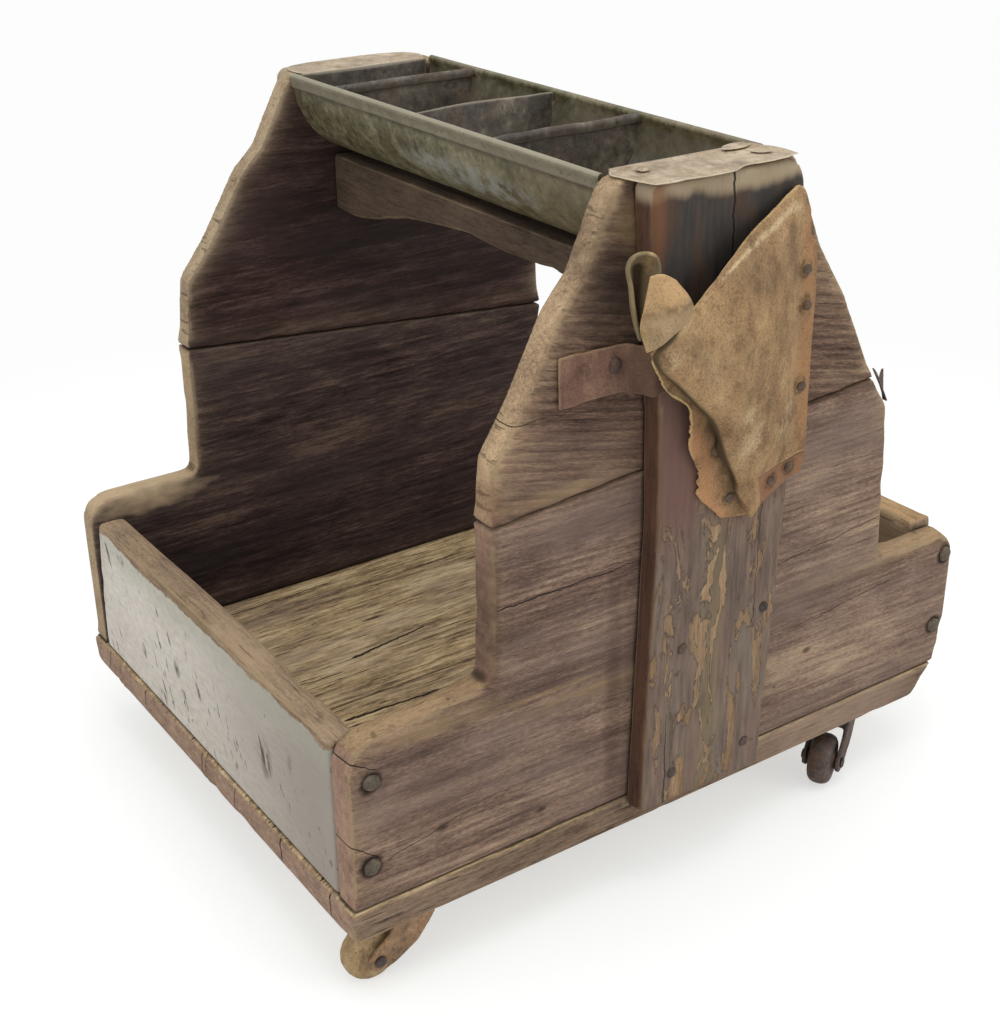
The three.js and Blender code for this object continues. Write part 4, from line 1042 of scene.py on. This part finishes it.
# %% Torn tongues of tin on the near flap
def tongue(name, tip, root, width, lift):
    """A leaf of thin sheet that lies on the flap and curls up at its tip."""
    tip, root = np.array([*tip, 0.0]), np.array([*root, 0.0])
    aside = np.cross(tip - root, [0, 0, 1])
    aside /= np.linalg.norm(aside)
    u, v = np.linspace(0, 1, 24), np.linspace(-1, 1, 14)
    girth = width / 2 * np.sin(math.pi * (0.12 + 0.84 * u)) ** 0.7
    grid = root + (tip - root) * u[None, :, None] + aside * (girth[None, :] * v[:, None])[:, :, None]
    grid[:, :, 2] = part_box("tray_end_near")[1].z - 0.0001 + lift * u[None, :] ** 2 + 0.0003 * v[:, None] ** 2
    return show(name, sheet_mesh(name, grid, 0.0006), rusty_sheet)


tongue("torn_tongue_1", mm(21, -172), mm(44, -166), 0.011, 0.0006)
tongue("torn_tongue_2", mm(41, -190.5), mm(33, -181.5), 0.008, 0.0004)

# %% [markdown]
# ## The leather pocket
#
# The pocket is half a cone of thick hide, nailed along its right edge and at its foot. At its left the hide makes an
# S: it folds back under the bulge, into a dark valley, and comes out again as a torn flange on the batten. Cloth
# simulation would make it fall soft and even, but this hide has set hard over the years, so its folds are modelled.
# Rows of points, from the foot to the mouth, say where the middle of the hide lies. Each point is [along the box,
# below the panel's top, out from the batten] in millimetres, and each row runs from the right edge to the torn left
# one. Splines fill the grid between them.

# %% Rows of points from foot to mouth
POCKET_ROWS = [
    [[66, 199, 1.5], [58, 199, 1.6], [50, 203, 1.7], [42, 207, 1.8], [36, 211, 2.2], [31, 213, 4.2], [25.5, 215.5, 6.5],
     [25, 216, 4.5], [24.5, 215.5, 2.0], [14, 214, 1.7], [3, 212, 1.7]],
    [[70, 190, 1.5], [61, 192, 1.8], [50, 194, 2.6], [41, 196, 3.6], [32, 198, 6.0], [25, 200, 9.0], [16.5, 201, 10.2],
     [16, 202, 6], [17, 203, 2.2], [0, 199, 1.8], [-17, 191, 1.8]],
    [[70, 176, 1.5], [61, 178, 2.4], [50, 180, 5], [38, 181, 8.5], [26, 182, 12], [15, 181.5, 14.3], [4.4, 180.3, 14],
     [6, 182.5, 8.5], [12, 185, 2.6], [-4, 182, 2.4], [-18, 176, 3.0]],
    [[69.5, 158, 1.5], [58, 161, 3.2], [48, 163, 8], [34, 164, 13.5], [20, 163, 17.5], [6, 161, 19.5],
     [-7.7, 159.6, 18.8], [-5, 163, 11], [6, 166, 3.2], [-9, 162, 4.2], [-28, 157, 6]],
    [[69, 136, 1.5], [55, 140, 4.2], [44, 143, 10], [29, 145, 16], [13, 146, 20.5], [-2, 145.5, 22.6], [-16, 143.9, 22],
     [-14, 147, 14], [-6, 151, 5], [-19, 147, 6], [-31, 142, 9]],
    [[68.7, 112, 1.5], [54, 117, 4.6], [42, 121, 11], [25, 126, 18], [7, 129, 23], [-9, 131, 25], [-24, 131.8, 24],
     [-23, 135, 16.5], [-14, 138, 8], [-26, 134, 9.5], [-36, 127, 12]],
    [[68.5, 90, 1.5], [53, 95, 5], [40, 100, 12], [22, 107, 19.5], [2, 113, 25], [-20, 117.5, 27], [-40, 116, 25.5],
     [-39, 119, 18.5], [-31, 122, 11.5], [-43, 119, 13], [-55, 112, 16]],
    [[68, 69, 1.5], [52.5, 74, 5], [39, 80, 12.5], [20, 88, 20], [-2, 96, 26], [-28, 101, 28.5], [-54, 102.5, 26.8],
     [-54, 105, 20.5], [-48, 108, 15], [-56, 106, 16.5], [-63.5, 101, 18.5]],
    [[66, 53, 1.7], [51.5, 58, 4.8], [38, 64, 12], [18, 72, 19], [-5, 80, 25.5], [-32, 87, 28.8], [-63, 93, 27],
     [-64, 95, 22], [-61, 97, 18], [-65, 95, 19], [-69.5, 91, 20]],
    [[60, 46, 2.2], [51, 49, 5.0], [38, 52, 10.5], [20, 59, 16.5], [-4, 67, 22.5], [-31, 76, 27], [-66, 84, 27],
     [-71, 86, 24], [-68, 87.5, 20.5], [-69, 87.5, 20.5], [-70, 87, 20.5]],
    [[58, 41, 3.6], [51, 42, 5.6], [37, 41, 8.8], [22, 46, 12.5], [0, 52, 17.6], [-27, 61, 23.4], [-57, 74.5, 27.4],
     [-66, 79, 26.6], [-70, 83, 24], [-71.5, 84, 22.5], [-72.5, 84.5, 21.5]],
    [[56.5, 37, 4.2], [55, 26.5, 4.4], [46.5, 15, 4.2], [27, 24, 6.6], [3, 35.5, 11], [-23, 51.5, 17.5], [-49, 65, 25],
     [-60, 71, 26], [-66, 75.5, 25.5], [-70, 79, 24], [-73, 82, 23]],
]

# %% From the rows to a fine grid
batten_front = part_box("near_batten")[0].y
panel_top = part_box("near_upper_board")[1].z


def hide_point(rows):
    """Rows of [along, below the panel's top, out from the batten] in mm, as places in metres."""
    rows = mm_rows(rows)
    return np.stack([middle.x + rows[..., 0], batten_front - rows[..., 2], panel_top - rows[..., 1]], axis=-1)


def fill_net(rows, columns, count):
    """A fine grid through a coarse net of points."""
    net = spline(hide_point(rows), np.linspace(0, 1, count))
    return np.swapaxes(spline(np.swapaxes(net, 0, 1), np.linspace(0, 1, columns)), 0, 1)


COLUMNS, ROWS = ((180, 190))
hide = fill_net(POCKET_ROWS, COLUMNS, ROWS)
print("grid of the hide:", COLUMNS, "x", ROWS)

# %% The hide
# U counts the points of a row, from 0 at the right edge, and V the rows, from 0 at the foot.
U, V = np.meshgrid(np.linspace(0, 10, COLUMNS), np.linspace(0, 11, ROWS))
hide_flat = hide.reshape(-1, 3)

left_tear = np.abs(0.0034 * ragged(ROWS, 0.05, 91) + 0.0022 * ragged(ROWS, 0.012, 93))
inward = hide[:, -8] - hide[:, -1]
inward /= np.linalg.norm(inward, axis=1, keepdims=True)
fade_left = np.clip((U - 9.3) / 0.7, 0, 1) ** 2
hide = hide + inward[:, None, :] * (left_tear[:, None] * fade_left)[:, :, None]
mouth_tear = np.abs(0.0008 * ragged(COLUMNS, 0.03, 95))
hide[:, :, 2] -= mouth_tear[None, :] * np.clip((V - 10.4) / 0.6, 0, 1) ** 2

outward = -grid_normals(hide)
outward *= np.sign(-outward[ROWS // 2, COLUMNS // 3, 1])  # away from the batten
free = np.clip((batten_front - hide[:, :, 1] - 0.0018) / 0.008, 0, 1)
lumps = soft_noise(hide_flat, (0.028, 0.028, 0.040), 97) + 0.35 * soft_noise(hide_flat, (0.010, 0.010, 0.016), 98)
hide += outward * (0.0007 * lumps.reshape(U.shape) * free)[:, :, None]
print("torn edge, at most:", round(1000 * left_tear.max(), 1), "mm")

# %% The torn hem
HEM_DROP = 185.5  # mm from the panel's top down to the hem
from_middle = (hide[:, :, 0] - middle.x) * 1000
drop = (panel_top - hide[:, :, 2]) * 1000
below_hem = drop - HEM_DROP - 1.6 * ragged(COLUMNS, 0.06, 101)[None, :] + 0.04 * (from_middle - 30)
below_hem = np.where((U < 4.6) & (from_middle > 22), below_hem, -20)
hide[:, :, 1] += 0.0008 * np.clip(below_hem / 1.5, 0, 1) * np.clip(free * 4, 0, 1)
hide[:, :, 1] = np.minimum(hide[:, :, 1], batten_front - 0.0014)
print("points below the hem:", int((below_hem > 0).sum()))

# %% Dents round the nails
nail_rings_on_hide = np.zeros(U.shape)
for name in sorted(n for n in frame["nodes"] if n.startswith("pocket_nail")):
    low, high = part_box(name)
    along, down = (low.x + high.x) / 2 - middle.x, panel_top - (low.z + high.z) / 2
    under_head = low.y + 0.0028
    lift = under_head - hide[:, :, 1]
    away = np.hypot(from_middle / 1000 - along, drop / 1000 - down)
    same_layer = np.clip((0.012 - np.abs(lift)) / 0.004, 0, 1)
    hide[:, :, 1] += lift * np.exp(-((away / 0.0075) ** 2)) * same_layer
    dent = np.exp(-(((away - 0.0046) / 0.0011) ** 2)) + 0.45 * np.exp(-((away / 0.008) ** 2))
    nail_rings_on_hide = np.maximum(nail_rings_on_hide, dent * same_layer)
print("points near a nail:", int((nail_rings_on_hide > 0.5).sum()))


# %% Marks on the hide
def spots_at(places):
    """1 at given places on the hide, [along, below the top, size] in mm, fading over their size."""
    total = np.zeros(U.shape)
    for along, down, size in places:
        total = np.maximum(total, np.exp(-((from_middle - along) ** 2 + (drop - down) ** 2) / size**2))
    return total


# Painted highlights: a thin line along the lip under the mouth, and a few soft spots on the bulges.
crest_highlight = np.exp(-(((V - 10.6) / 0.09) ** 2)) * np.clip((U - 1.2) / 1.0, 0, 1) * np.clip((6.0 - U) / 1.5, 0, 1)
pale = np.maximum(crest_highlight, 0.6 * spots_at([[2, 138, 7], [45, 146, 6], [40, 160, 8], [8, 156, 12], [-64, 88, 6]]))
# Painted shade in the fold of the S, together with an olive stain.
valley_shade = np.clip((U - 6.15) / 0.3, 0, 1) * np.clip((8.75 - U) / 0.7, 0, 1) * np.clip((V - 0.3) / 1.5, 0, 1)

pocket_mesh = sheet_mesh("pocket_hide", hide, 0.0022)
for name, values in {
    "pale": pale, "fold": valley_shade, "flange": np.clip((1.5 - U) / 0.9, 0, 1), "hem": below_hem / 10,
    "peach": np.clip((U - 8.6) / 0.8, 0, 1) * np.clip((5.5 - V) / 2, 0, 1), "ring": nail_rings_on_hide,
    "worn": 0.8 * np.clip((U - 9.7) / 0.25, 0, 1),
}.items():
    write_mark(pocket_mesh, name, np.tile(values.ravel(), 2))
print("pocket hide:", 2 * U.size, "points")

# %% [markdown]
# Old suede is many browns. It is orange where the flange was stretched flat under nails, olive in the fold, which is
# also darkened with painted shade, and a redder second hide shows below the torn hem. Painted highlights lie along
# the lip under the mouth and on a few bulges. The colours follow the marks that the modelling left on the points, so
# they stay with the shape. A point without a mark counts as 0.

# %% Leather finish
def leather_finish(name, strap=False):
    """Old suede. The strap has only the marks for worn edges and shade, and darker tones."""
    finish = Finish(name)
    x, y, z = finish.place()
    cloud = finish.noise(x * 26, y * 20, z * 22, detail=5, rough=0.62)
    smear = finish.noise(x * 80, y * 60, z * 50, detail=5, rough=0.66)
    nap = finish.noise(x * 800, y * 800, z * 800, detail=4, rough=0.7)
    light = 0.5 + (cloud - 0.5) * 1.0 + (smear - 0.5) * 0.7 + (nap - 0.5) * 0.6
    if strap:
        tone = finish.ramp(light, (0.2, "#594139"), (0.5, "#846456"), (0.8, "#a08168"))
        tone = finish.mix(finish.mark("worn") * 0.7, tone, "#a58c6c")
        tone = finish.mix(finish.mark("shade") * 0.6, tone, "#3d2b25")
    else:
        tone = finish.ramp(light, (0.2, "#725a41"), (0.42, "#957656"), (0.6, "#ab8b65"), (0.85, "#c5a67d"))
        grey = finish.noise(x * 34, y * 30, z * 30, detail=4, rough=0.6).step(0.5, 0.66)
        tone = finish.mix(grey * 0.35, tone, "#7c6a55")
        patchy = (cloud * 0.5 + smear * 0.5).step(0.38, 0.6)
        tone = finish.mix(finish.mark("flange") * (0.2 + patchy * 0.6), tone, "#a17450")
        # On the lobe, peach above and mauve below are partly colour and partly painted light and shade.
        tone = finish.mix(finish.mark("peach") * (0.45 + patchy * 0.45), tone, "#b98760")
        tone = finish.mix(finish.mark("mauve") * (0.8 + patchy * 0.2), tone, "#84695b")
        # Painted highlights on the lip and the bulges, broken up by the nap.
        rubbed = (finish.mark("pale") * (smear * 0.6 + nap * 0.4).step(0.38, 0.6)).clamp()
        tone = finish.mix(rubbed * 0.8, tone, "#dcc49c")
        # Painted shade and an olive stain in the fold.
        tone = finish.mix((finish.mark("fold") * (0.7 + cloud * 0.6)).clamp() * 0.9, tone, "#42392a")
        hem = finish.mark("hem")
        tone = finish.mix(hem.step(0.0, 0.03) * (0.6 + patchy * 0.35), tone, "#93694f")
        tone = finish.mix(hem.step(-0.12, -0.02) * hem.step(0.03, -0.01) * 0.6, tone, "#cfb384")
        tone = finish.mix(hem.step(-0.01, 0.03) * hem.step(0.16, 0.05) * 0.6, tone, "#4b3627")
        spotty = finish.noise(x * 170, y * 170, z * 170, detail=3, rough=0.6).step(0.42, 0.58)
        tone = finish.mix((finish.mark("ring") * (0.35 + spotty * 0.65)).clamp() * 0.7, tone, "#4f3c2c")
        tone = finish.mix(finish.mark("worn") * 0.6, tone, "#cdb07c")
        tone = finish.mix(finish.mark("olive") * (0.6 + patchy * 0.3), tone, "#6f6550")
        # Painted shade in the ear's hollow.
        tone = finish.mix((finish.mark("hollow") * 1.2).clamp() * 0.93, tone, "#33261b")
    stain = finish.noise(x * 48, y * 40, z * 40, detail=5, rough=0.6).step(0.6, 0.72)
    tone = finish.mix(stain * 0.35, tone, "#6a513c")
    fleck = finish.noise(x * 330, y * 330, z * 330, detail=3).step(0.62, 0.7)
    tone = finish.mix(fleck * 0.25, tone, "#4f3c2b")
    tone = finish.mix(nap.step(0.5, 0.36) * 0.35 + smear.step(0.5, 0.34) * 0.25, tone, "#604a36")
    height = (nap - 0.5) * 0.6 + (smear - 0.5) * 0.5 - fleck * 0.2
    rough = 0.9 - stain * 0.12
    return finish.close(tone, rough, height, depth=0.0005, strength=0.5, Specular_IOR_Level=0.2)


suede = leather_finish("suede")
strap_hide = leather_finish("strap_hide", strap=True)
show("pocket_hide", pocket_mesh, suede, stands_for=["leather_pocket"])
print("leather:", suede.name, strap_hide.name)

# %% [markdown]
# At the left of the mouth the hide ends in two more forms. A rounded lobe of its inner side rises from the crease,
# peach above and grey-mauve below, partly its own colour and partly painted light from above and painted shade below.
# Behind that, a narrow ear curls up like a spoon round a hollow darkened with painted shade. Each is a small sheet
# of its own.

# %% Rows of points of the lobe and the ear
LOBE_ROWS = [
    [[-46, 66, 24], [-54, 69.5, 27], [-62, 74, 28], [-70, 79.5, 26.5], [-74, 84, 20.5]],
    [[-44.5, 63, 21.5], [-52, 61.5, 27.5], [-61, 64, 29.8], [-70, 68, 27.5], [-77, 71, 18]],
    [[-46.5, 58.5, 19.5], [-53, 54.5, 26], [-60.5, 54.5, 28.5], [-68, 57, 26.5], [-74.5, 60, 17.5]],
    [[-51.5, 53, 18.5], [-56.5, 47.5, 20.5], [-62, 43.5, 22], [-67, 41.5, 21], [-71, 43, 17.5]],
]
EAR_ROWS = [
    [[-66, 83, 17], [-68, 82, 13], [-69.5, 81, 10.5], [-71, 80.5, 11], [-72, 80, 13]],
    [[-66, 66, 16], [-68.5, 66, 9], [-71.5, 66, 6], [-74, 66, 8], [-76, 66, 13]],
    [[-63, 52, 15], [-67, 52, 7.5], [-71.5, 52, 4.5], [-76, 51.5, 7.5], [-79.5, 51, 13.5]],
    [[-60.5, 43, 14], [-65.5, 42, 6.5], [-71.5, 41.5, 4], [-78, 41, 7], [-82.5, 41, 13.5]],
    [[-61.5, 37, 13.5], [-66, 35.5, 9], [-71.5, 35, 7], [-77.5, 35, 9], [-82, 35.5, 14]],
    [[-64, 34, 14], [-67.5, 31.8, 13.5], [-72, 30.8, 13], [-77, 31.2, 13.5], [-80.5, 33, 14.5]],
]
print("rows:", len(LOBE_ROWS), "and", len(EAR_ROWS))


# %% The lobe and the ear
def small_hide(name, rows, columns, count, seed, marks):
    """A small sheet of hide. The marks are functions of the shares across and up."""
    grid = fill_net(rows, columns, count)
    lump = soft_noise(grid.reshape(-1, 3), (0.009, 0.009, 0.012), seed).reshape(count, columns)
    grid += (0.0005 * lump)[:, :, None] * grid_normals(grid)
    across, up = np.meshgrid(np.linspace(0, 1, columns), np.linspace(0, 1, count))
    mesh = sheet_mesh(name, grid, 0.0021)
    for mark, rule in marks.items():
        write_mark(mesh, mark, np.tile(np.clip(rule(across, up), 0, 1).ravel(), 2))
    return show(name, mesh, suede)


# The lobe's peach top and grey-mauve lower part are partly its colour and partly painted light from above and painted
# shade below, and a soft painted highlight sits low on it.
small_hide("pocket_lobe", LOBE_ROWS, 56, 50, 111, {
    "peach": lambda across, up: (up - 0.40) / 0.2,
    "mauve": lambda across, up: (0.58 + 0.06 * np.sin(across * 9) - up) / 0.12 * np.clip((0.93 - across) / 0.1, 0, 1),
    "pale": lambda across, up: 0.45 * np.exp(-(((across - 0.66) / 0.12) ** 2 + ((up - 0.24) / 0.15) ** 2)),
    "worn": lambda across, up: np.clip((across - 0.9) / 0.08, 0, 1),
    "ring": lambda across, up: 0.75 * np.exp(-(((up - 0.5 + 0.08 * np.sin(across * 6)) / 0.09) ** 2)),
})
# The ear's hollow is darkened with painted shade; the olive is its own colour.
small_hide("pocket_ear", EAR_ROWS, 46, 70, 113, {
    "hollow": lambda across, up: 1.6 * (1 - np.abs(across - 0.45) / 0.24) * np.clip((0.72 - up) / 0.1, 0, 1),
    "olive": lambda across, up: 1 - np.clip(1 - np.abs(across - 0.2) / 0.2, 0, 1) * np.clip((up - 0.5) / 0.2, 0, 1),
    "ring": lambda across, up: 0.5 * np.clip((up - 0.6) / 0.1, 0, 1),
})

# %% [markdown]
# ## The strap
#
# A short dark strap is nailed to the upper board, climbs over the edge of the batten and ends under the pocket.

# %% Strap
strap_low, strap_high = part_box("leather_strap")
board_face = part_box("near_upper_board")[0].y
batten_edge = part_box("near_batten")[0].x
STRAP_PATH = [
    (strap_low.x, board_face - 0.0016), (strap_low.x + 0.010, board_face - 0.0015),
    (batten_edge - 0.020, board_face - 0.0015), (batten_edge - 0.004, board_face - 0.0022),
    (batten_edge + 0.0005, board_face - 0.009), (batten_edge + 0.004, batten_front - 0.0012),
    (batten_edge + 0.010, batten_front - 0.0016), (strap_high.x, batten_front - 0.0016),
]
STEPS, LINES = 110, 30  # points along and across the strap
strap_u, strap_v = np.linspace(0, 1, STEPS), np.linspace(0, 1, LINES)
route = spline(STRAP_PATH, strap_u)
strap_z = (strap_low.z + strap_high.z) / 2
half_width = 0.0150 - 0.0012 * strap_u + 0.0005 * ragged(STEPS, 0.1, 121)
sway = 0.0006 * ragged(STEPS, 0.2, 123)
heights = strap_z - 0.0006 + sway[None, :] + (1 - 2 * strap_v[:, None]) * half_width[None, :]
strap = np.stack([np.tile(route[:, 0], (LINES, 1)), np.tile(route[:, 1], (LINES, 1)), heights], axis=2)
strap[:, :, 0] += 0.0012 * ragged(LINES, 0.4, 125)[:, None] * (1 - strap_u[None, :]) ** 4
lumps = np.clip(soft_noise(strap.reshape(-1, 3), (0.02, 1, 0.01), 127), 0, 1)
strap[:, :, 1] -= 0.0005 * lumps.reshape(LINES, STEPS)
strap_mesh = sheet_mesh("strap_sheet", strap, 0.0023)
write_mark(strap_mesh, "shade", np.tile(np.clip((strap_u - 0.3) / 0.25, 0, 1), 2 * LINES))
show("strap_sheet", strap_mesh, strap_hide, stands_for=["leather_strap"])
print("strap:", round(1000 * (strap_high.x - strap_low.x)), "mm of hide")

# %% [markdown]
# ## Nails, a scrap of iron and the casters
#
# A forged nail head is a low lump, never quite round. One helper makes such a head where a CAD nail stands: it reads
# the nail's place and size from its box, and points the head the way the nail was driven. Two more nails at the
# foot of the far batten, which the photo can't show, exist only here.

# %% Rusty iron
def iron_finish(name, tones, rust, rusted=0.5):
    """Forged iron with pits, under a bloom of rust."""
    finish = Finish(name)
    x, y, z = finish.place()
    cloud = finish.noise(x * 60, y * 60, z * 60, detail=5, rough=0.65)
    grain = finish.noise(x * 420, y * 420, z * 420, detail=4, rough=0.7)
    pits = finish.noise(x * 900, y * 900, z * 900, detail=2).step(0.6, 0.7)
    light = 0.5 + (cloud - 0.5) * 1.5 + (grain - 0.5) * 0.9
    tone = finish.ramp(light, (0.2, tones[0]), (0.5, tones[1]), (0.8, tones[2]))
    bloom = finish.noise(x * 110, y * 110, z * 110, detail=5, rough=0.65).step(0.45, 0.62)
    tone = finish.mix(bloom * rusted, tone, rust)
    tone = finish.mix(pits * 0.5, tone, "#1c1512")
    height = (grain - 0.5) * 0.9 + bloom * 0.4 - pits * 0.5
    metal = (1 - bloom) * 0.35
    return finish.close(tone, 0.66 + bloom * 0.2, height, metallic=metal, depth=0.0004, strength=0.7)


nail_iron = iron_finish("nail_iron", ("#3f372f", "#61564a", "#83765f"), "#5a4736", rusted=0.4)
dull_iron = iron_finish("dull_iron", ("#42352b", "#5d4d3f", "#7b6753"), "#6c503a")
dark_iron = iron_finish("dark_iron", ("#2e2725", "#4c403c", "#6d5e55"), "#6a4a38")
brown_rust = iron_finish("brown_rust", ("#69533e", "#94765a", "#b69371"), "#92704f")
tan_rust = iron_finish("tan_rust", ("#7d6a50", "#a88e6a", "#c6ad86"), "#a07c52")
print("iron:", [iron.name for iron in (nail_iron, dull_iron, dark_iron, brown_rust, tan_rust)])

# %% A nail head
SIDES = {"-y": (1, -1), "+y": (1, 1), "z": (2, 1)}  # axis and sign of the way that a head faces
# Shares of the radius and of the rise, from the middle of the head out over its rim and in under it.
PROFILE = [(0, 1.0), (0.3, 0.99), (0.55, 0.9), (0.78, 0.68), (0.93, 0.36), (0.99, 0.12), (0.96, -0.08), (0.45, -0.1)]
SHANK = [(0.0014, -0.004), (0.0014, -0.012)]  # radius and height of two rings, in metres
TURNS = np.linspace(0, 2 * math.pi, 25)[:-1]


def head_mesh(name, top, radius, rise, side, seed):
    """A nail head. Top is its highest point, and side the direction that it faces: -y, +y or z."""
    axis, sign = SIDES[side]
    flat = [k for k in range(3) if k != axis]
    random = np.random.default_rng(seed)
    oval = 0.05 * (1 + np.sin(2 * TURNS + random.random() * 6))
    knocks = 0.03 * (1 + np.sin(5 * TURNS + random.random() * 6))
    wave = 1 - oval - knocks
    rings = [(r * radius, rise * h) for r, h in PROFILE[1:]] + SHANK
    points = [[0, 0, rise * 0.97]]
    for r, h in rings:
        points += [[r * wave[k] * math.cos(t), r * wave[k] * math.sin(t), h] for k, t in enumerate(TURNS)]
    points = np.array(points)
    points[:, 2] -= 0.0002 * np.clip(soft_noise(points, (0.003, 0.003, 0.003), seed), 0, 1)
    count = len(TURNS)
    faces = [(0, 1 + k, 1 + (k + 1) % count) for k in range(count)]
    for ring_no in range(len(rings) - 1):
        a = 1 + ring_no * count
        faces += [(a + k, a + count + k, a + count + (k + 1) % count, a + (k + 1) % count) for k in range(count)]
    faces.append(tuple(1 + (len(rings) - 1) * count + count - 1 - k for k in range(count)))
    placed = np.zeros_like(points)
    placed[:, flat[0]] = top[flat[0]] + points[:, 0] * (sign if axis == 2 else -sign)
    placed[:, flat[1]] = top[flat[1]] + points[:, 1]
    placed[:, axis] = top[axis] - sign * rise + sign * points[:, 2]
    mesh = bpy.data.meshes.new(name)
    mesh.from_pydata(placed.tolist(), [], faces)
    return mesh


# %% Put the heads where the CAD nails stand
HEAD_RISE = {0.0060: 0.0030, 0.0050: 0.0018, 0.0044: 0.0012, 0.0040: 0.0016, 0.0036: 0.0015}  # for each radius


def nail_head(node, side, seed, finish):
    """Replaces a CAD nail."""
    low, high = (np.array(c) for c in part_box(node))
    axis, sign = SIDES[side]
    top = (low + high) / 2
    top[axis] = low[axis] if sign < 0 else high[axis]
    radius = min(high[k] - low[k] for k in range(3) if k != axis) / 2
    mesh = head_mesh(node, top, radius, HEAD_RISE[round(radius, 4)], side, seed)
    return show(node.replace("nail", "nailhead"), mesh, finish, stands_for=[node])


NAIL_FINISHES = {"end": nail_iron, "pocket": dull_iron, "flap": rusty_sheet}
nails = [name for name in frame["nodes"] if "nail" in name]
for number, name in enumerate(sorted(nails)):
    side = "z" if name == "flap_nail" else "+y" if "_far_" in name or name.startswith("far") else "-y"
    finish = next((f for start, f in NAIL_FINISHES.items() if name.startswith(start)), dark_iron)
    nail_head(name, side, 200 + number, finish)
print("nail heads:", len(nails))

# %% Two more nails at the foot of the far batten
batten_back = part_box("far_batten")[1].y
EXTRA_NAILS = [
    ("far_batten_nailhead_3", (-0.031, batten_back + 0.0015, 0.118), "+y"),
    ("far_batten_nailhead_4", (0.034, batten_back + 0.0015, 0.196), "+y"),
]
for number, (name, top, side) in enumerate(EXTRA_NAILS):
    show(name, head_mesh(name, top, 0.004, 0.0016, side, 300 + number), dark_iron)
print("more nail heads:", len(EXTRA_NAILS))

# %% Casters and scrap
VOXELS = {"wheel": 0.0012, "horn": 0.0009, "plate": 0.0008, "axle": 0.0007, "scrap": 0.0005}
CASTER_FINISHES = {"caster_wheel_near_left": tan_rust, "caster_horn_near_left": brown_rust}
iron_parts = sorted(n for n in frame["nodes"] if n.startswith("caster") or n == "edge_scrap")
for name in iron_parts:
    body = next(b for b, names in frame["record"]["behaviour"]["bodies"].items() if name in names)
    finish = CASTER_FINISHES.get(name, dark_iron)
    mesh = fine_copy(name, VOXELS[name.split("_")[1]])
    start, edges, normals = read_points(mesh), read_edges(mesh), read_normals(mesh)
    rust = soft_noise(start, (0.004, 0.004, 0.004), 7) + 0.6 * soft_noise(start, (0.0015, 0.0015, 0.0015), 8)
    points = eased(start, edges, 2) - normals * (0.00012 * np.clip(rust, 0, 2))[:, None]
    low, high = (np.array(c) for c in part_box(name))
    write_points(mesh, np.clip(points, low, high))
    show(name + "_rusted", mesh, finish, body, [name])
print("parts of the casters, and the scrap:", len(iron_parts))
